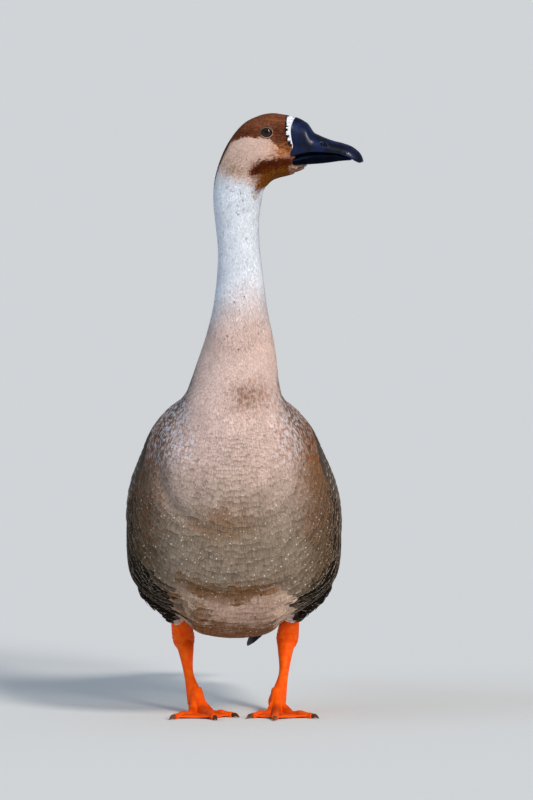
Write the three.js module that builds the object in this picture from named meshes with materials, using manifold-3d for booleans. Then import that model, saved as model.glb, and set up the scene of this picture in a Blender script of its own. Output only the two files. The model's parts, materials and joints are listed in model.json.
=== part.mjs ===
// A life-size brown Chinese goose, a domestic goose descended from the swan goose. It stands upright on both
// feet with its head turned to its left, and is a still model with no joints.
// Millimetres, +Z up. The goose faces -Y and its left side is +X. The floor is z = 0.
import * as THREE from "three";
import { mergeVertices } from "three/addons/utils/BufferGeometryUtils.js";
import Module from "manifold-3d";

const wasm = await Module();
wasm.setup();

// ==== Driving dimensions ==================================================================================
const GAP = 0.35; // between two pieces that meet
const SIDES = { left: 1, right: -1 }; // the goose's own sides, along +X

// The body is a run of ribs from the tail root (0) to the bill (26). Each rib spans from its back point to
// its belly point, both as [forward, up], and is `half` wide to each side. `full` is the share of the way
// from belly to back where it is widest. `square` and `keel` are the superellipse exponents above and below
// that: 2 is an ellipse, more is boxier.
const RIBS = [
  { back: [-264, 154], belly: [-248, 126], half: 28, full: 0.5, square: 2.0, keel: 2.0 },
  { back: [-240, 171], belly: [-218, 116], half: 44, full: 0.5, square: 2.0, keel: 2.0 },
  { back: [-205, 198], belly: [-178, 102], half: 68, full: 0.48, square: 2.05, keel: 1.95 },
  { back: [-160, 236], belly: [-125, 91], half: 93, full: 0.46, square: 2.2, keel: 1.85 },
  { back: [-110, 276], belly: [-65, 87], half: 111, full: 0.46, square: 2.35, keel: 1.8 },
  { back: [-60, 315], belly: [-2, 94], half: 121.5, full: 0.46, square: 2.45, keel: 2.15 },
  { back: [-15, 345], belly: [58, 115], half: 122, full: 0.45, square: 2.7, keel: 2.9 },
  { back: [15, 363], belly: [112, 150], half: 110.5, full: 0.48, square: 3.1, keel: 2.4 },
  { back: [30, 376], belly: [148, 202], half: 98.5, full: 0.5, square: 2.8, keel: 2.2 },
  { back: [37, 392], belly: [163, 261], half: 82, full: 0.5, square: 1.95, keel: 2.0 },
  { back: [41, 407], belly: [158, 309], half: 61, full: 0.5, square: 2.0, keel: 2.0 },
  { back: [44, 424], belly: [146, 349], half: 51.5, full: 0.5, square: 2.0, keel: 2.0 },
  { back: [47, 442], belly: [134, 386], half: 45.5, full: 0.5, square: 2.0, keel: 2.0 },
  { back: [50, 464], belly: [127, 424], half: 38.5, full: 0.5, square: 2.0, keel: 2.0 },
  { back: [54, 490], belly: [121, 464], half: 31, full: 0.5, square: 2.0, keel: 2.0 },
  { back: [58, 518], belly: [114.5, 504], half: 26.5, full: 0.5, square: 2.0, keel: 2.0 },
  { back: [60, 546], belly: [109, 540], half: 24, full: 0.5, square: 2.0, keel: 2.0 },
  { back: [57, 574], belly: [107.5, 575], half: 24, full: 0.5, square: 2.0, keel: 2.0 },
  { back: [55, 597], belly: [111, 598], half: 24.5, full: 0.5, square: 2.0, keel: 2.0 },
  { back: [56.5, 623], belly: [113.7, 613.5], half: 24.5, full: 0.5, square: 2.0, keel: 2.0 },
  { back: [63, 648], belly: [118, 620], half: 25, full: 0.48, square: 2.0, keel: 2.0 },
  { back: [73.5, 670.5], belly: [123, 625], half: 25.5, full: 0.46, square: 2.0, keel: 2.0 },
  { back: [89, 689.5], belly: [130, 628], half: 25.5, full: 0.44, square: 2.0, keel: 2.1 },
  { back: [107, 699], belly: [137, 629.8], half: 25, full: 0.43, square: 2.05, keel: 2.2 },
  { back: [122, 702], belly: [143.5, 631.5], half: 23.5, full: 0.43, square: 2.1, keel: 2.3 },
  { back: [136, 700.5], belly: [149, 633], half: 21.5, full: 0.43, square: 2.15, keel: 2.4 },
  { back: [151, 698], belly: [153, 634.3], half: 19.5, full: 0.44, square: 2.2, keel: 2.4 },
];
const LAST_RIB = RIBS.length - 1;
const TRUNK = { ribs: [0, 11], rows: 13, columns: 24 };
const NECK = {
  lengths: { neck_lower: [11, 14], neck_middle: [14, 17], neck_upper: [17, 19.3] }, // in ribs
  rows: 4,
  columns: 20,
  gap: 0.018, // in ribs, which lie about 30 mm apart here
  axis: 84, // the upright line that the neck twists about, forward of the feet's datum
  twist: [12, 21], // the neck turns between these ribs
  turn: THREE.MathUtils.degToRad(82), // of the head, to the goose's left
  // how far the middle stands to the goose's left, as [rib, distance]
  sway: [
    [-1, 0], [3, 0.5], [5, 1], [7, -1.5], [9, -1.2], [11, 1.5], [13, 7], [14.5, 7.5], [16.5, 6], [19, 5.5],
    [21, 6.3], [27, 6.3],
  ],
};
const HEAD = { ribs: [19.3, LAST_RIB], rows: 12, columns: 20, gap: 0.03 };
// Forward of the datum, up, and out from the head's middle to the eyeball's centre
const EYE = { forward: 119, up: 681, out: 13.6, radius: 9.4 };

// Tables of the bill are [forward of its root, height or width].
const BILL = {
  root: 149.5, // forward of the datum, where the feathers end on the midline
  // the ridge, which starts on a low knob
  ridge: [
    [-12, 699], [0, 697.8], [4, 696.4], [10, 693.2], [14.5, 689.8], [17, 686.2], [20, 681.6], [27, 677.4],
    [34, 674.4], [44, 671], [54, 668.6], [62.5, 665.2], [71, 659.8], [75, 655], [77, 650.4], [78, 647.5],
  ],
  // the cutting edge, where the two mandibles meet
  edge: [
    [-12, 650], [0, 651.8], [7, 654.3], [22, 657.4], [38, 657.3], [53, 655.4], [64, 651.2], [70, 648.6],
    [78, 646.6],
  ],
  half: [
    [-12, 18.5], [0, 17.8], [12, 17.3], [28, 15.5], [46, 13.6], [58, 13], [66, 11.4], [72, 8.2], [76, 4.6],
    [78, 2],
  ],
  under: [
    [-12, 641], [0, 641], [16, 641.4], [21, 642.2], [29, 643.8], [42, 646.4], [52, 648.3], [62, 649.2],
    [65, 649.4],
  ],
  length: 78,
  lowerLength: 64,
  back: -9, // the mandibles reach this far back, and are then cut along the line of the feathers
  lip: 1.6, // how far the lower mandible lies inside the upper one
  bite: 4, // how far the lower mandible rises behind the upper one's edge
  columns: 14,
  nailFrom: 62,
};
// How far back the feathers end on the bill's sides, as [height, distance] at the side `SETBACK_SIDE`
const SETBACK = [[630, 1], [645, 1], [665, 3.2], [680, 7], [700, 7.5], [720, 7.5]];
const SETBACK_SIDE = 17;
const NOSTRIL = { forward: 38, up: 665, length: 8, height: 3.6, septum: 3 };
const CHIN = { from: [126, 641], middle: [148, 640.5], tip: [165, 641.5], half: 13.5, deep: 7.2 };

const WING = {
  rise: 3, // above the body's own surface
  depth: 8, // sunk below it
  inner: 14, // clear of the back's midline
  reach: 144, // past the body's side
  // the folded wing seen from the side, as [forward, up]: wrist, lower edge, rear, and past the back
  outline: [[78, 330], [66, 292], [32, 246], [-20, 206], [-85, 170], [-150, 141], [-205, 130], [-240, 136],
    [-246, 160], [-205, 215], [-120, 300], [-40, 352], [20, 366], [62, 360]],
  points: 18,
};

// The right wing's tip lies over the tail and the left one hangs beside and under it. Each path is
// [side, forward, up], and `face` is the way that the blade's flat side looks.
const TIPS = {
  left: {
    path: [[99, -110, 190], [84, -168, 144], [57, -230, 100], [22, -296, 57]],
    face: [0.9, 0.35, 0.25],
  },
  right: {
    path: [[-88, -150, 206], [-66, -205, 178], [-36, -264, 157], [4, -328, 126]],
    face: [-0.5, 0.35, 0.8],
  },
};
const TIP_WIDTHS = [50, 46, 32, 8]; // from root to tip
const TIP_DEPTHS = [8, 7, 5, 1.8];

const TAIL = {
  // the fan's upper and lower side as [forward, up], from root to tip
  top: [[-236, 158], [-268, 149], [-308, 129], [-348, 106]],
  low: [[-226, 132], [-264, 131], [-306, 119], [-347, 102]],
  half: [34, 45, 54, 59],
  tipRadius: 64, // of the fan's end seen from above
  rows: 5,
  columns: 16,
};

// Each leg from the hip down, as [side, forward, up], and the way its foot points in degrees from forward
const LEGS = {
  left: {
    hip: [84, -2, 174], bare: [65, -54, 105], hock: [62, -64, 84], joint: [50.5, -33, 15], heading: 3,
  },
  right: {
    hip: [-83, -2, 174], bare: [-61.5, -54, 105], hock: [-58, -64, 84], joint: [-43.5, -33, 15], heading: 12,
  },
};
const THIGH = { radii: [37, 37, 33, 22, 12], flatness: 0.92, rows: 6, columns: 12 };
// Half width and half depth of the bare leg at each level
const BARE = { top: [10.2, 10.2], hock: [12.9, 12.4], neck: [9, 10.4], waist: [5.7, 7.4], foot: [7.6, 9] };
const SHANK_BOW = 2.3; // how far the shank bows outward
const HOCK_SHARE = 0.17; // where the hock ends, as a share of the way from its middle to the foot

// Toe angles are from the foot's heading towards the other foot, in degrees.
const TOES = {
  inner: { angle: 28, length: 61, radius: 4.8, bend: -6, lift: 0 },
  middle: { angle: 5, length: 74, radius: 5.3, bend: 0, lift: 0 },
  outer: { angle: -29, length: 68, radius: 4.8, bend: 7, lift: 0 },
  hind: { angle: 168, length: 19, radius: 3.3, bend: 0, lift: 3 },
};
const TOE_TAPER = 0.32;
const TOE_SINK = 1.2; // how much of each toe pad is flattened by the floor
const BALL = { half: 8.8, deep: 10, tall: 9, up: 7, back: 2 }; // of the foot, under its joint
const WEB = { thick: 2.6, sag: 1.5, front: 0.94, hollow: 0.13 };
const CLAW = { length: 9.5, radius: 2.7, up: 1.1 };

const COLOURS = {
  buff: 0xb59a85, cap: 0x70391f, white: 0xe9e4df, breast: 0xa08c7b, wing: 0x6a6057, quill: 0x2b2a2d,
  bill: 0x10141f, nail: 0x2b2621, eye: 0x22120c, orange: 0xf2600c, claw: 0x3a2a20,
};
const FEATHERY = 0.85; // roughness
const HORNY = 0.35;
const SCALY = 0.5;
const WET = 0.1;

// ==== Curves and surfaces =================================================================================
const SIDEWAYS = new THREE.Vector3(1, 0, 0);
const UPWARD = new THREE.Vector3(0, 0, 1);
const point = (side, forward, up) => new THREE.Vector3(side, -forward, up);

// A value from a short table of [position, value] pairs, eased between them.
function fromTable(table, at) {
  const curve = new THREE.SplineCurve(table.map(([x, y]) => new THREE.Vector2(x, y)));
  let low = 0;
  let high = 1;
  for (let step = 0; step < 40; step++) {
    const middle = (low + high) / 2;
    if (curve.getPoint(middle).x < at) low = middle;
    else high = middle;
  }
  return curve.getPoint(low).y;
}

// A value from evenly spaced ones, at a share of the way through them.
function eased(values, share) {
  return new THREE.SplineCurve(values.map((value, i) => new THREE.Vector2(i, value))).getPoint(share).y;
}

// A closed surface over rings of points, with both ends capped. Every ring has the same number of points.
function surfaceOver(rings) {
  const columns = rings[0].length;
  const middle = (ring) => ring.reduce((sum, p) => sum.add(p), new THREE.Vector3()).divideScalar(columns);
  const points = [...rings.flat(), middle(rings[0]), middle(rings.at(-1))];
  const first = points.length - 2;
  const last = points.length - 1;
  const lastRing = (rings.length - 1) * columns;
  const faces = [];
  for (let c = 0; c < columns; c++) {
    const next = (c + 1) % columns;
    for (let row = 0; row < lastRing; row += columns) {
      const above = row + columns;
      faces.push(row + c, row + next, above + next, row + c, above + next, above + c);
    }
    faces.push(first, next, c, last, lastRing + c, lastRing + next);
  }
  const geometry = new THREE.BufferGeometry().setFromPoints(points);
  geometry.setIndex(faces);
  return geometry;
}

const alongRibs = (pick) => new THREE.CatmullRomCurve3(RIBS.map(pick));
const BACK_LINE = alongRibs((rib) => point(0, ...rib.back));
const BELLY_LINE = alongRibs((rib) => point(0, ...rib.belly));
const WIDTH_LINE = alongRibs((rib) => new THREE.Vector3(rib.half, rib.full, 0));
const CORNER_LINE = alongRibs((rib) => new THREE.Vector3(rib.square, rib.keel, 0));

// The body's section at rib number `at`, larger by `grow` all round and turned with the neck.
function ribRing(at, columns, grow) {
  const share = at / LAST_RIB;
  const back = BACK_LINE.getPoint(share);
  const belly = BELLY_LINE.getPoint(share);
  const { x: half, y: full } = WIDTH_LINE.getPoint(share);
  const { x: square, y: keel } = CORNER_LINE.getPoint(share);
  const centre = belly.clone().lerp(back, full);
  const turn = NECK.turn * THREE.MathUtils.smoothstep(at, ...NECK.twist);
  const ring = [];
  for (let c = 0; c < columns; c++) {
    const angle = (2 * Math.PI * c) / columns;
    const out = Math.sin(angle);
    const up = -Math.cos(angle);
    const [end, corner] = up < 0 ? [belly, keel] : [back, square];
    const reach = end.clone().sub(centre);
    const larger = 1 + grow / reach.length();
    const p = centre.clone().addScaledVector(reach, Math.abs(up) ** (2 / corner) * larger);
    p.x = Math.sign(out) * Math.abs(out) ** (2 / corner) * (half + grow);
    p.sub(point(0, NECK.axis, 0)).applyAxisAngle(UPWARD, turn);
    ring.push(p.add(point(fromTable(NECK.sway, at), NECK.axis, 0)));
  }
  return ring;
}

// A length of the body. A grown one is longer at its rear end too.
function bodyLength([from, to], rows, columns, grow = 0) {
  const rings = [];
  for (let r = 0; r <= rows; r++) rings.push(ribRing(from + ((to - from) * r) / rows, columns, grow));
  if (grow > 0) {
    const backward = rings[0][0].clone().sub(rings[1][0]).setX(0).setLength(grow);
    rings.unshift(rings[0].map((p) => p.clone().add(backward)));
  }
  return surfaceOver(rings);
}

// A rounded limb or blade along a path. `size` gives its half width and half depth at each share of its
// length, and `wide` is the direction of its width.
function limb(path, size, wide, rows, columns) {
  const curve = new THREE.CatmullRomCurve3(path);
  const rings = [];
  for (let r = 0; r <= rows; r++) {
    const centre = curve.getPoint(r / rows);
    const onward = curve.getTangent(r / rows);
    const deep = new THREE.Vector3().crossVectors(onward, wide).normalize();
    const broad = new THREE.Vector3().crossVectors(deep, onward).normalize();
    const [halfWidth, halfDepth] = size(r / rows);
    const ring = [];
    for (let c = 0; c < columns; c++) {
      const angle = (2 * Math.PI * c) / columns;
      const p = centre.clone().addScaledVector(broad, halfWidth * Math.cos(angle));
      ring.push(p.addScaledVector(deep, halfDepth * Math.sin(angle)));
    }
    rings.push(ring);
  }
  return surfaceOver(rings);
}

// ==== Joining and cutting =================================================================================
function solid(geometry) {
  const bare = geometry.index ? geometry.toNonIndexed() : geometry.clone();
  bare.deleteAttribute("normal");
  bare.deleteAttribute("uv");
  const { attributes, index } = mergeVertices(bare, 1e-4);
  const make = (triVerts) => new wasm.Manifold(
    new wasm.Mesh({ numProp: 3, vertProperties: attributes.position.array, triVerts }));
  const corners = new Uint32Array(index.array);
  const made = make(corners);
  // A mirrored geometry has its faces inside out: reversing the corners' order turns them back.
  return made.volume() > 0 ? made : make(corners.reverse());
}

function geometryOf(piece) {
  const { numProp, vertProperties, numVert, triVerts } = piece.getMesh();
  const positions = new Float32Array(numVert * 3);
  for (let i = 0; i < numVert; i++) {
    positions.set(vertProperties.subarray(i * numProp, i * numProp + 3), i * 3);
  }
  const geometry = new THREE.BufferGeometry();
  geometry.setAttribute("position", new THREE.BufferAttribute(positions, 3));
  geometry.setIndex(new THREE.BufferAttribute(triVerts, 1));
  geometry.computeVertexNormals();
  return geometry;
}

const byVolume = (a, b) => b.volume() - a.volume();
const biggest = (piece) => piece.decompose().sort(byVolume)[0];
const goose = new THREE.Group();

function add(name, piece, color, roughness) {
  const material = new THREE.MeshStandardMaterial({ color, roughness, metalness: 0 });
  const mesh = new THREE.Mesh(geometryOf(piece), material);
  mesh.name = name;
  goose.add(mesh);
}

// ==== Trunk and wings =====================================================================================
const bodySolid = (grow) => solid(bodyLength(TRUNK.ribs, TRUNK.rows, TRUNK.columns, grow));

// The block of space that a folded wing takes, with its side outline moved out by `grow`.
function wingBlock(side, grow) {
  const loop = new THREE.CatmullRomCurve3(WING.outline.map(([forward, up]) => point(0, forward, up)), true);
  const outline = [];
  for (let i = 0; i < WING.points; i++) {
    const at = loop.getPoint(i / WING.points);
    const onward = loop.getTangent(i / WING.points);
    outline.push(new THREE.Vector2(at.y + onward.z * grow, at.z - onward.y * grow));
  }
  const depth = WING.reach - WING.inner + grow;
  const block = new THREE.ExtrudeGeometry(new THREE.Shape(outline), { depth, bevelEnabled: false });
  // The outline's plane is stood up along the body, so that the block reaches out along +X.
  block.applyMatrix4(new THREE.Matrix4().makeBasis(new THREE.Vector3(0, 1, 0), UPWARD, SIDEWAYS));
  block.translate(WING.inner - grow, 0, 0);
  if (side < 0) block.scale(-1, 1, 1);
  return solid(block);
}

function thigh(leg, grow) {
  const hip = point(...leg.hip);
  const bare = point(...leg.bare);
  const more = grow / hip.distanceTo(bare);
  const path = [-more, 0.25, 0.5, 0.8, 1 + more].map((share) => hip.clone().lerp(bare, share));
  const size = (share) => {
    const radius = eased(THIGH.radii, share) + grow;
    return [radius * THIGH.flatness, radius];
  };
  return solid(limb(path, size, SIDEWAYS, THIGH.rows, THIGH.columns));
}

const bodyGrown = bodySolid(GAP);
const wingShell = bodySolid(WING.rise).subtract(bodySolid(-WING.depth));
const wingSpaces = Object.values(SIDES).map((side) => wingBlock(side, GAP));

function addTrunk() {
  const underWings = bodySolid(-WING.depth - GAP);
  let trunk = bodySolid(0);
  for (const space of wingSpaces) trunk = trunk.subtract(space.subtract(underWings));
  for (const leg of Object.values(LEGS)) trunk = trunk.subtract(thigh(leg, GAP));
  add("trunk", biggest(trunk), COLOURS.breast, FEATHERY);
}

function addWings() {
  for (const [name, side] of Object.entries(SIDES)) {
    add("wing_" + name, biggest(wingShell.intersect(wingBlock(side, 0))), COLOURS.wing, FEATHERY);
  }
}

// ==== Tail and wing tips ==================================================================================
// The tail's fan: a thin wedge with a rounded end.
function tailFan(grow) {
  const line = (pairs) => new THREE.CatmullRomCurve3(pairs.map(([forward, up]) => point(0, forward, up)));
  const top = line(TAIL.top);
  const low = line(TAIL.low);
  const rings = [];
  for (let r = 0; r <= TAIL.rows; r++) {
    const share = r / TAIL.rows;
    const high = top.getPoint(share).addScaledVector(UPWARD, grow);
    const base = low.getPoint(share).addScaledVector(UPWARD, -grow);
    const half = eased(TAIL.half, share) + grow;
    const ring = [];
    for (let c = 0; c < TAIL.columns; c++) {
      const angle = (2 * Math.PI * c) / TAIL.columns;
      ring.push(base.clone().lerp(high, (1 - Math.cos(angle)) / 2).setX(half * Math.sin(angle)));
    }
    rings.push(ring);
  }
  const { tipRadius } = TAIL;
  const tipCentre = -TAIL.top.at(-1)[0] - tipRadius;
  const plan = new THREE.Shape();
  plan.absarc(0, tipCentre, tipRadius + grow, 0, Math.PI, false);
  plan.lineTo(-tipRadius, 0);
  plan.lineTo(tipRadius, 0);
  const ends = new THREE.ExtrudeGeometry(plan, { depth: 400, bevelEnabled: false, curveSegments: 10 });
  return solid(surfaceOver(rings)).intersect(solid(ends));
}

function addTail() {
  let tail = tailFan(0).subtract(bodyGrown);
  const wingsGrown = bodySolid(WING.rise + GAP);
  for (const space of wingSpaces) tail = tail.subtract(wingsGrown.intersect(space));
  add("tail", biggest(tail), COLOURS.quill, FEATHERY);
}

// The primaries' blades come out from under the folded wings.
function addWingTips() {
  const size = (share) => [eased(TIP_WIDTHS, share) / 2, eased(TIP_DEPTHS, share) / 2];
  for (const [name, { path, face }] of Object.entries(TIPS)) {
    const points = path.map((p) => point(...p));
    const wide = points.at(-1).clone().sub(points[0]).cross(new THREE.Vector3(...face)).normalize();
    let tip = solid(limb(points, size, wide, 7, 10)).subtract(bodyGrown).subtract(tailFan(GAP));
    for (const space of wingSpaces) tip = tip.subtract(space);
    add("primaries_" + name, biggest(tip), COLOURS.quill, FEATHERY);
  }
}

// ==== Neck, head and bill =================================================================================
function addNeck() {
  for (const [name, [from, to]] of Object.entries(NECK.lengths)) {
    const geometry = bodyLength([from + NECK.gap, to], NECK.rows, NECK.columns);
    add(name, solid(geometry), name === "neck_lower" ? COLOURS.buff : COLOURS.white, FEATHERY);
  }
}

// Moves a piece that was drawn with the head facing straight ahead to where the turned head is.
function turned(piece) {
  const geometry = geometryOf(piece).translate(0, NECK.axis, 0).rotateZ(NECK.turn);
  return solid(geometry.translate(NECK.sway.at(-1)[1], -NECK.axis, 0));
}

// A mandible's sections between a top line and a bottom line. `top`, `bottom`, `half` and `peak` are
// functions of the distance from the bill's root, and `peak` is the upper side's exponent: lower is a
// sharper ridge.
function mandible(length, { top, bottom, half, peak, rows }) {
  const seatShare = 0.22; // where each section is widest, from its bottom to its top
  const rings = [];
  for (let r = 0; r <= rows; r++) {
    const ease = 1 - (1 - r / rows) ** 1.35;
    const at = BILL.back + (length - BILL.back) * ease;
    const seat = THREE.MathUtils.lerp(bottom(at), top(at), seatShare);
    const ring = [];
    for (let c = 0; c < BILL.columns; c++) {
      const angle = (2 * Math.PI * c) / BILL.columns;
      const out = Math.sin(angle);
      const up = -Math.cos(angle);
      const above = up > 0;
      const height = above ? (top(at) - seat) * up ** (2 / peak(at)) : (bottom(at) - seat) * (-up) ** 0.5;
      const across = Math.sign(out) * Math.abs(out) ** (above ? 1 : 0.6);
      ring.push(point(across * half(at), BILL.root + at, seat + height));
    }
    rings.push(ring);
  }
  return solid(surfaceOver(rings));
}

const reading = (table, more) => (at) => fromTable(table, at) + more;

function upperBill(grow) {
  return mandible(BILL.length, {
    top: reading(BILL.ridge, grow),
    bottom: reading(BILL.edge, -grow),
    half: reading(BILL.half, grow),
    peak: (at) => 2.1 - 0.35 * THREE.MathUtils.smoothstep(at, 10, 30),
    rows: 10,
  });
}

function lowerBill(grow) {
  return mandible(BILL.lowerLength + grow, {
    top: reading(BILL.edge, BILL.bite),
    bottom: reading(BILL.under, -grow),
    half: reading(BILL.half, grow - BILL.lip),
    peak: () => 2.6,
    rows: 5,
  });
}

// Everything in front of the line where the feathers end. The line runs back from the midline on each side.
function billSpace(grow) {
  const wide = 60;
  const front = 300;
  const rings = [];
  for (const up of [639.8, 645, 665, 680, 720]) {
    const ring = [];
    for (let side = -21; side <= 21; side += 7) {
      const back = fromTable(SETBACK, up) * Math.min(1, (side / SETBACK_SIDE) ** 2);
      ring.push(point(side, BILL.root - back - grow, up));
    }
    ring.push(point(wide, BILL.root - grow, up), point(wide, front, up));
    ring.push(point(-wide, front, up), point(-wide, BILL.root - grow, up));
    rings.push(ring);
  }
  return solid(surfaceOver(rings));
}

// A pit from each side, with a septum left between them.
function nostrils() {
  const { forward, up, length, height, septum } = NOSTRIL;
  const hole = new THREE.SphereGeometry(1, 8, 6).scale(60, length / 2, height / 2).rotateX(-0.3);
  const wall = new THREE.BoxGeometry(septum, 60, 60).translate(0, -(BILL.root + forward), up);
  return solid(hole.translate(0, -(BILL.root + forward), up)).subtract(solid(wall));
}

function nailSpace(grow) {
  const size = 60;
  const from = BILL.root + BILL.nailFrom - grow;
  const height = fromTable(BILL.edge, BILL.nailFrom);
  return solid(new THREE.BoxGeometry(size, size, size).translate(0, -from - size / 2, height));
}

function addBill() {
  const upper = upperBill(0).intersect(billSpace(0));
  const lower = lowerBill(0).intersect(billSpace(0)).subtract(upperBill(GAP));
  const withoutNail = upper.subtract(nostrils()).subtract(nailSpace(GAP));
  add("bill_upper", turned(biggest(withoutNail)), COLOURS.bill, HORNY);
  add("bill_lower", turned(biggest(lower.subtract(nailSpace(GAP)))), COLOURS.bill, HORNY);
  add("bill_nail", turned(biggest(upper.intersect(nailSpace(0)))), COLOURS.nail, HORNY);
}

// The feathered chin runs forward under the lower mandible as a narrow wedge.
function chin() {
  const path = [CHIN.from, CHIN.middle, CHIN.tip].map(([forward, up]) => point(0, forward, up));
  const size = (share) => [CHIN.half * (1 - 0.75 * share ** 2), CHIN.deep * (1 - 0.8 * share ** 2)];
  return solid(limb(path, size, SIDEWAYS, 5, 12)).subtract(lowerBill(GAP));
}

function eyeball(side, grow) {
  const ball = new THREE.SphereGeometry(EYE.radius + grow, 12, 8);
  return turned(solid(ball.translate(side * EYE.out, -EYE.forward, EYE.up)));
}

function addHead() {
  const [from, to] = HEAD.ribs;
  let head = solid(bodyLength([from + HEAD.gap, to], HEAD.rows, HEAD.columns));
  head = head.subtract(turned(billSpace(GAP))).add(turned(chin()));
  for (const side of Object.values(SIDES)) head = head.subtract(eyeball(side, GAP));
  add("head", biggest(head), COLOURS.cap, FEATHERY);
  for (const [name, side] of Object.entries(SIDES)) add("eye_" + name, eyeball(side, 0), COLOURS.eye, WET);
}

// ==== Legs and feet =======================================================================================
// A round plug along a limb, to part it with: from `start` to `end` along `axis`, measured from `centre`.
function plug(centre, axis, radius, start, end) {
  const path = [start, end].map((at) => centre.clone().addScaledVector(axis, at));
  return solid(limb(path, () => [radius, radius], SIDEWAYS, 1, 8));
}

// The bare leg, parted below the hock. Its top goes up into the thigh.
function bareLeg(leg) {
  const [bare, hock, joint] = [leg.bare, leg.hock, leg.joint].map((p) => point(...p));
  const down = joint.clone().sub(hock).normalize();
  const parting = hock.clone().lerp(joint, HOCK_SHARE);
  const waist = parting.clone().lerp(joint, 0.5);
  waist.x += Math.sign(waist.x) * SHANK_BOW;
  const top = bare.clone().add(bare.clone().sub(hock).setLength(6));
  const path = [top, hock, parting, waist, joint, joint.clone().addScaledVector(down, 5)];
  const sizes = [BARE.top, BARE.hock, BARE.neck, BARE.waist, BARE.foot, BARE.foot];
  const size = (share) => [0, 1].map((i) => eased(sizes.map((pair) => pair[i]), share));
  const whole = solid(limb(path, size, SIDEWAYS, 12, 10)).subtract(thigh(leg, GAP)).subtract(bodyGrown);
  const parted = whole.subtract(plug(parting, down, 25, 0, GAP)).subtract(plug(joint, down, 20, 0, 40));
  const pieces = parted.decompose().sort(byVolume).slice(0, 2);
  return pieces.sort((a, b) => b.boundingBox().max[2] - a.boundingBox().max[2]);
}

// A toe runs from the foot's joint down to the floor and ends at its claw.
function toePath(leg, toe, side) {
  const angle = THREE.MathUtils.degToRad(leg.heading - toe.angle * side);
  const bend = THREE.MathUtils.degToRad(toe.bend * side);
  const onward = (turn) => new THREE.Vector3(Math.sin(angle + turn), -Math.cos(angle + turn), 0);
  const pad = toe.radius - TOE_SINK + toe.lift;
  const start = point(...leg.joint).addScaledVector(UPWARD, -4);
  const knuckle = start.clone().addScaledVector(onward(-bend), toe.length * 0.42).setZ(pad + 0.2);
  const tip = start.clone().addScaledVector(onward(0), toe.length * 0.75).setZ(pad + 0.4);
  const end = start.clone().addScaledVector(onward(bend * 0.6), toe.length).setZ(pad * 0.8);
  return [start, knuckle, tip, end];
}

function toeSolid(path, radius) {
  const size = (share) => {
    const pads = 1 + 0.07 * Math.cos(share * 6 * Math.PI);
    const half = radius * pads * (1 - TOE_TAPER * share);
    return [half, half];
  };
  return solid(limb(path, size, UPWARD, 4, 7));
}

// The web spans between two toes: a thin sheet with a hollowed front edge.
function web(from, to) {
  const rows = 3;
  const across = 3;
  const curves = [from, to].map((path) => new THREE.CatmullRomCurve3(path));
  const rings = [];
  for (let r = 0; r <= rows; r++) {
    const arch = Math.sin((Math.PI * r) / rows);
    const edge = [];
    for (let i = 0; i <= across; i++) {
      const share = ((WEB.front - WEB.hollow * arch) * i) / across;
      const [a, b] = curves.map((curve) => curve.getPoint(share));
      edge.push(a.lerp(b, r / rows).addScaledVector(UPWARD, -WEB.sag * arch));
    }
    const lifted = (up) => (p) => p.clone().addScaledVector(UPWARD, up);
    rings.push([...edge.map(lifted(WEB.thick / 2)), ...edge.reverse().map(lifted(-WEB.thick / 2))]);
  }
  return solid(surfaceOver(rings));
}

function claw(path) {
  const [back, end] = path.slice(-2);
  const onward = end.clone().sub(back).setZ(0).normalize();
  const start = end.clone().addScaledVector(onward, GAP);
  const middle = start.clone().addScaledVector(onward, CLAW.length * 0.55);
  const tip = start.clone().addScaledVector(onward, CLAW.length).setZ(CLAW.up);
  const size = (share) => [1, 0.85].map((round) => CLAW.radius * round * (1 - 0.75 * share ** 2));
  return solid(limb([start, middle, tip], size, UPWARD, 3, 6));
}

function footSolid(leg, paths) {
  const joint = point(...leg.joint);
  const ball = new THREE.SphereGeometry(1, 10, 6).scale(BALL.half, BALL.deep, BALL.tall);
  let foot = solid(ball.translate(joint.x, joint.y - BALL.back, BALL.up));
  for (const [name, toe] of Object.entries(TOES)) foot = foot.add(toeSolid(paths[name], toe.radius));
  foot = foot.add(web(paths.inner, paths.middle)).add(web(paths.middle, paths.outer));
  const down = joint.clone().sub(point(...leg.hock)).normalize();
  return biggest(foot.subtract(plug(joint, down, 16, -40, GAP)).subtract(belowFloor));
}

const belowFloor = solid(new THREE.BoxGeometry(600, 900, 60).translate(0, 0, -30));

function addLegs() {
  for (const [name, side] of Object.entries(SIDES)) {
    const leg = LEGS[name];
    const [hock, shank] = bareLeg(leg);
    const paths = {};
    for (const toe of Object.keys(TOES)) paths[toe] = toePath(leg, TOES[toe], side);
    const foot = footSolid(leg, paths);
    add("thigh_" + name, thigh(leg, 0), COLOURS.white, FEATHERY);
    add("hock_" + name, hock, COLOURS.orange, SCALY);
    add("shank_" + name, shank, COLOURS.orange, SCALY);
    add("foot_" + name, foot, COLOURS.orange, SCALY);
    for (const [toe, path] of Object.entries(paths)) {
      const nail = claw(path).subtract(foot).subtract(belowFloor);
      add("claw_" + name + "_" + toe, nail, COLOURS.claw, HORNY);
    }
  }
}

// ==== The whole goose =====================================================================================
addTrunk();
addWings();
addTail();
addWingTips();
addNeck();
addHead();
addBill();
addLegs();

// The origin is on the floor, under the middle of the goose's box.
const box = new THREE.Box3().setFromObject(goose, true);
const middle = box.getCenter(new THREE.Vector3());
goose.position.set(-middle.x, -middle.y, -box.min.z);

export default goose;
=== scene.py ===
import json
import math

import bmesh
import bpy
import numpy as np
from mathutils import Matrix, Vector
from mathutils.bvhtree import BVHTree
from mathutils.kdtree import KDTree

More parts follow.
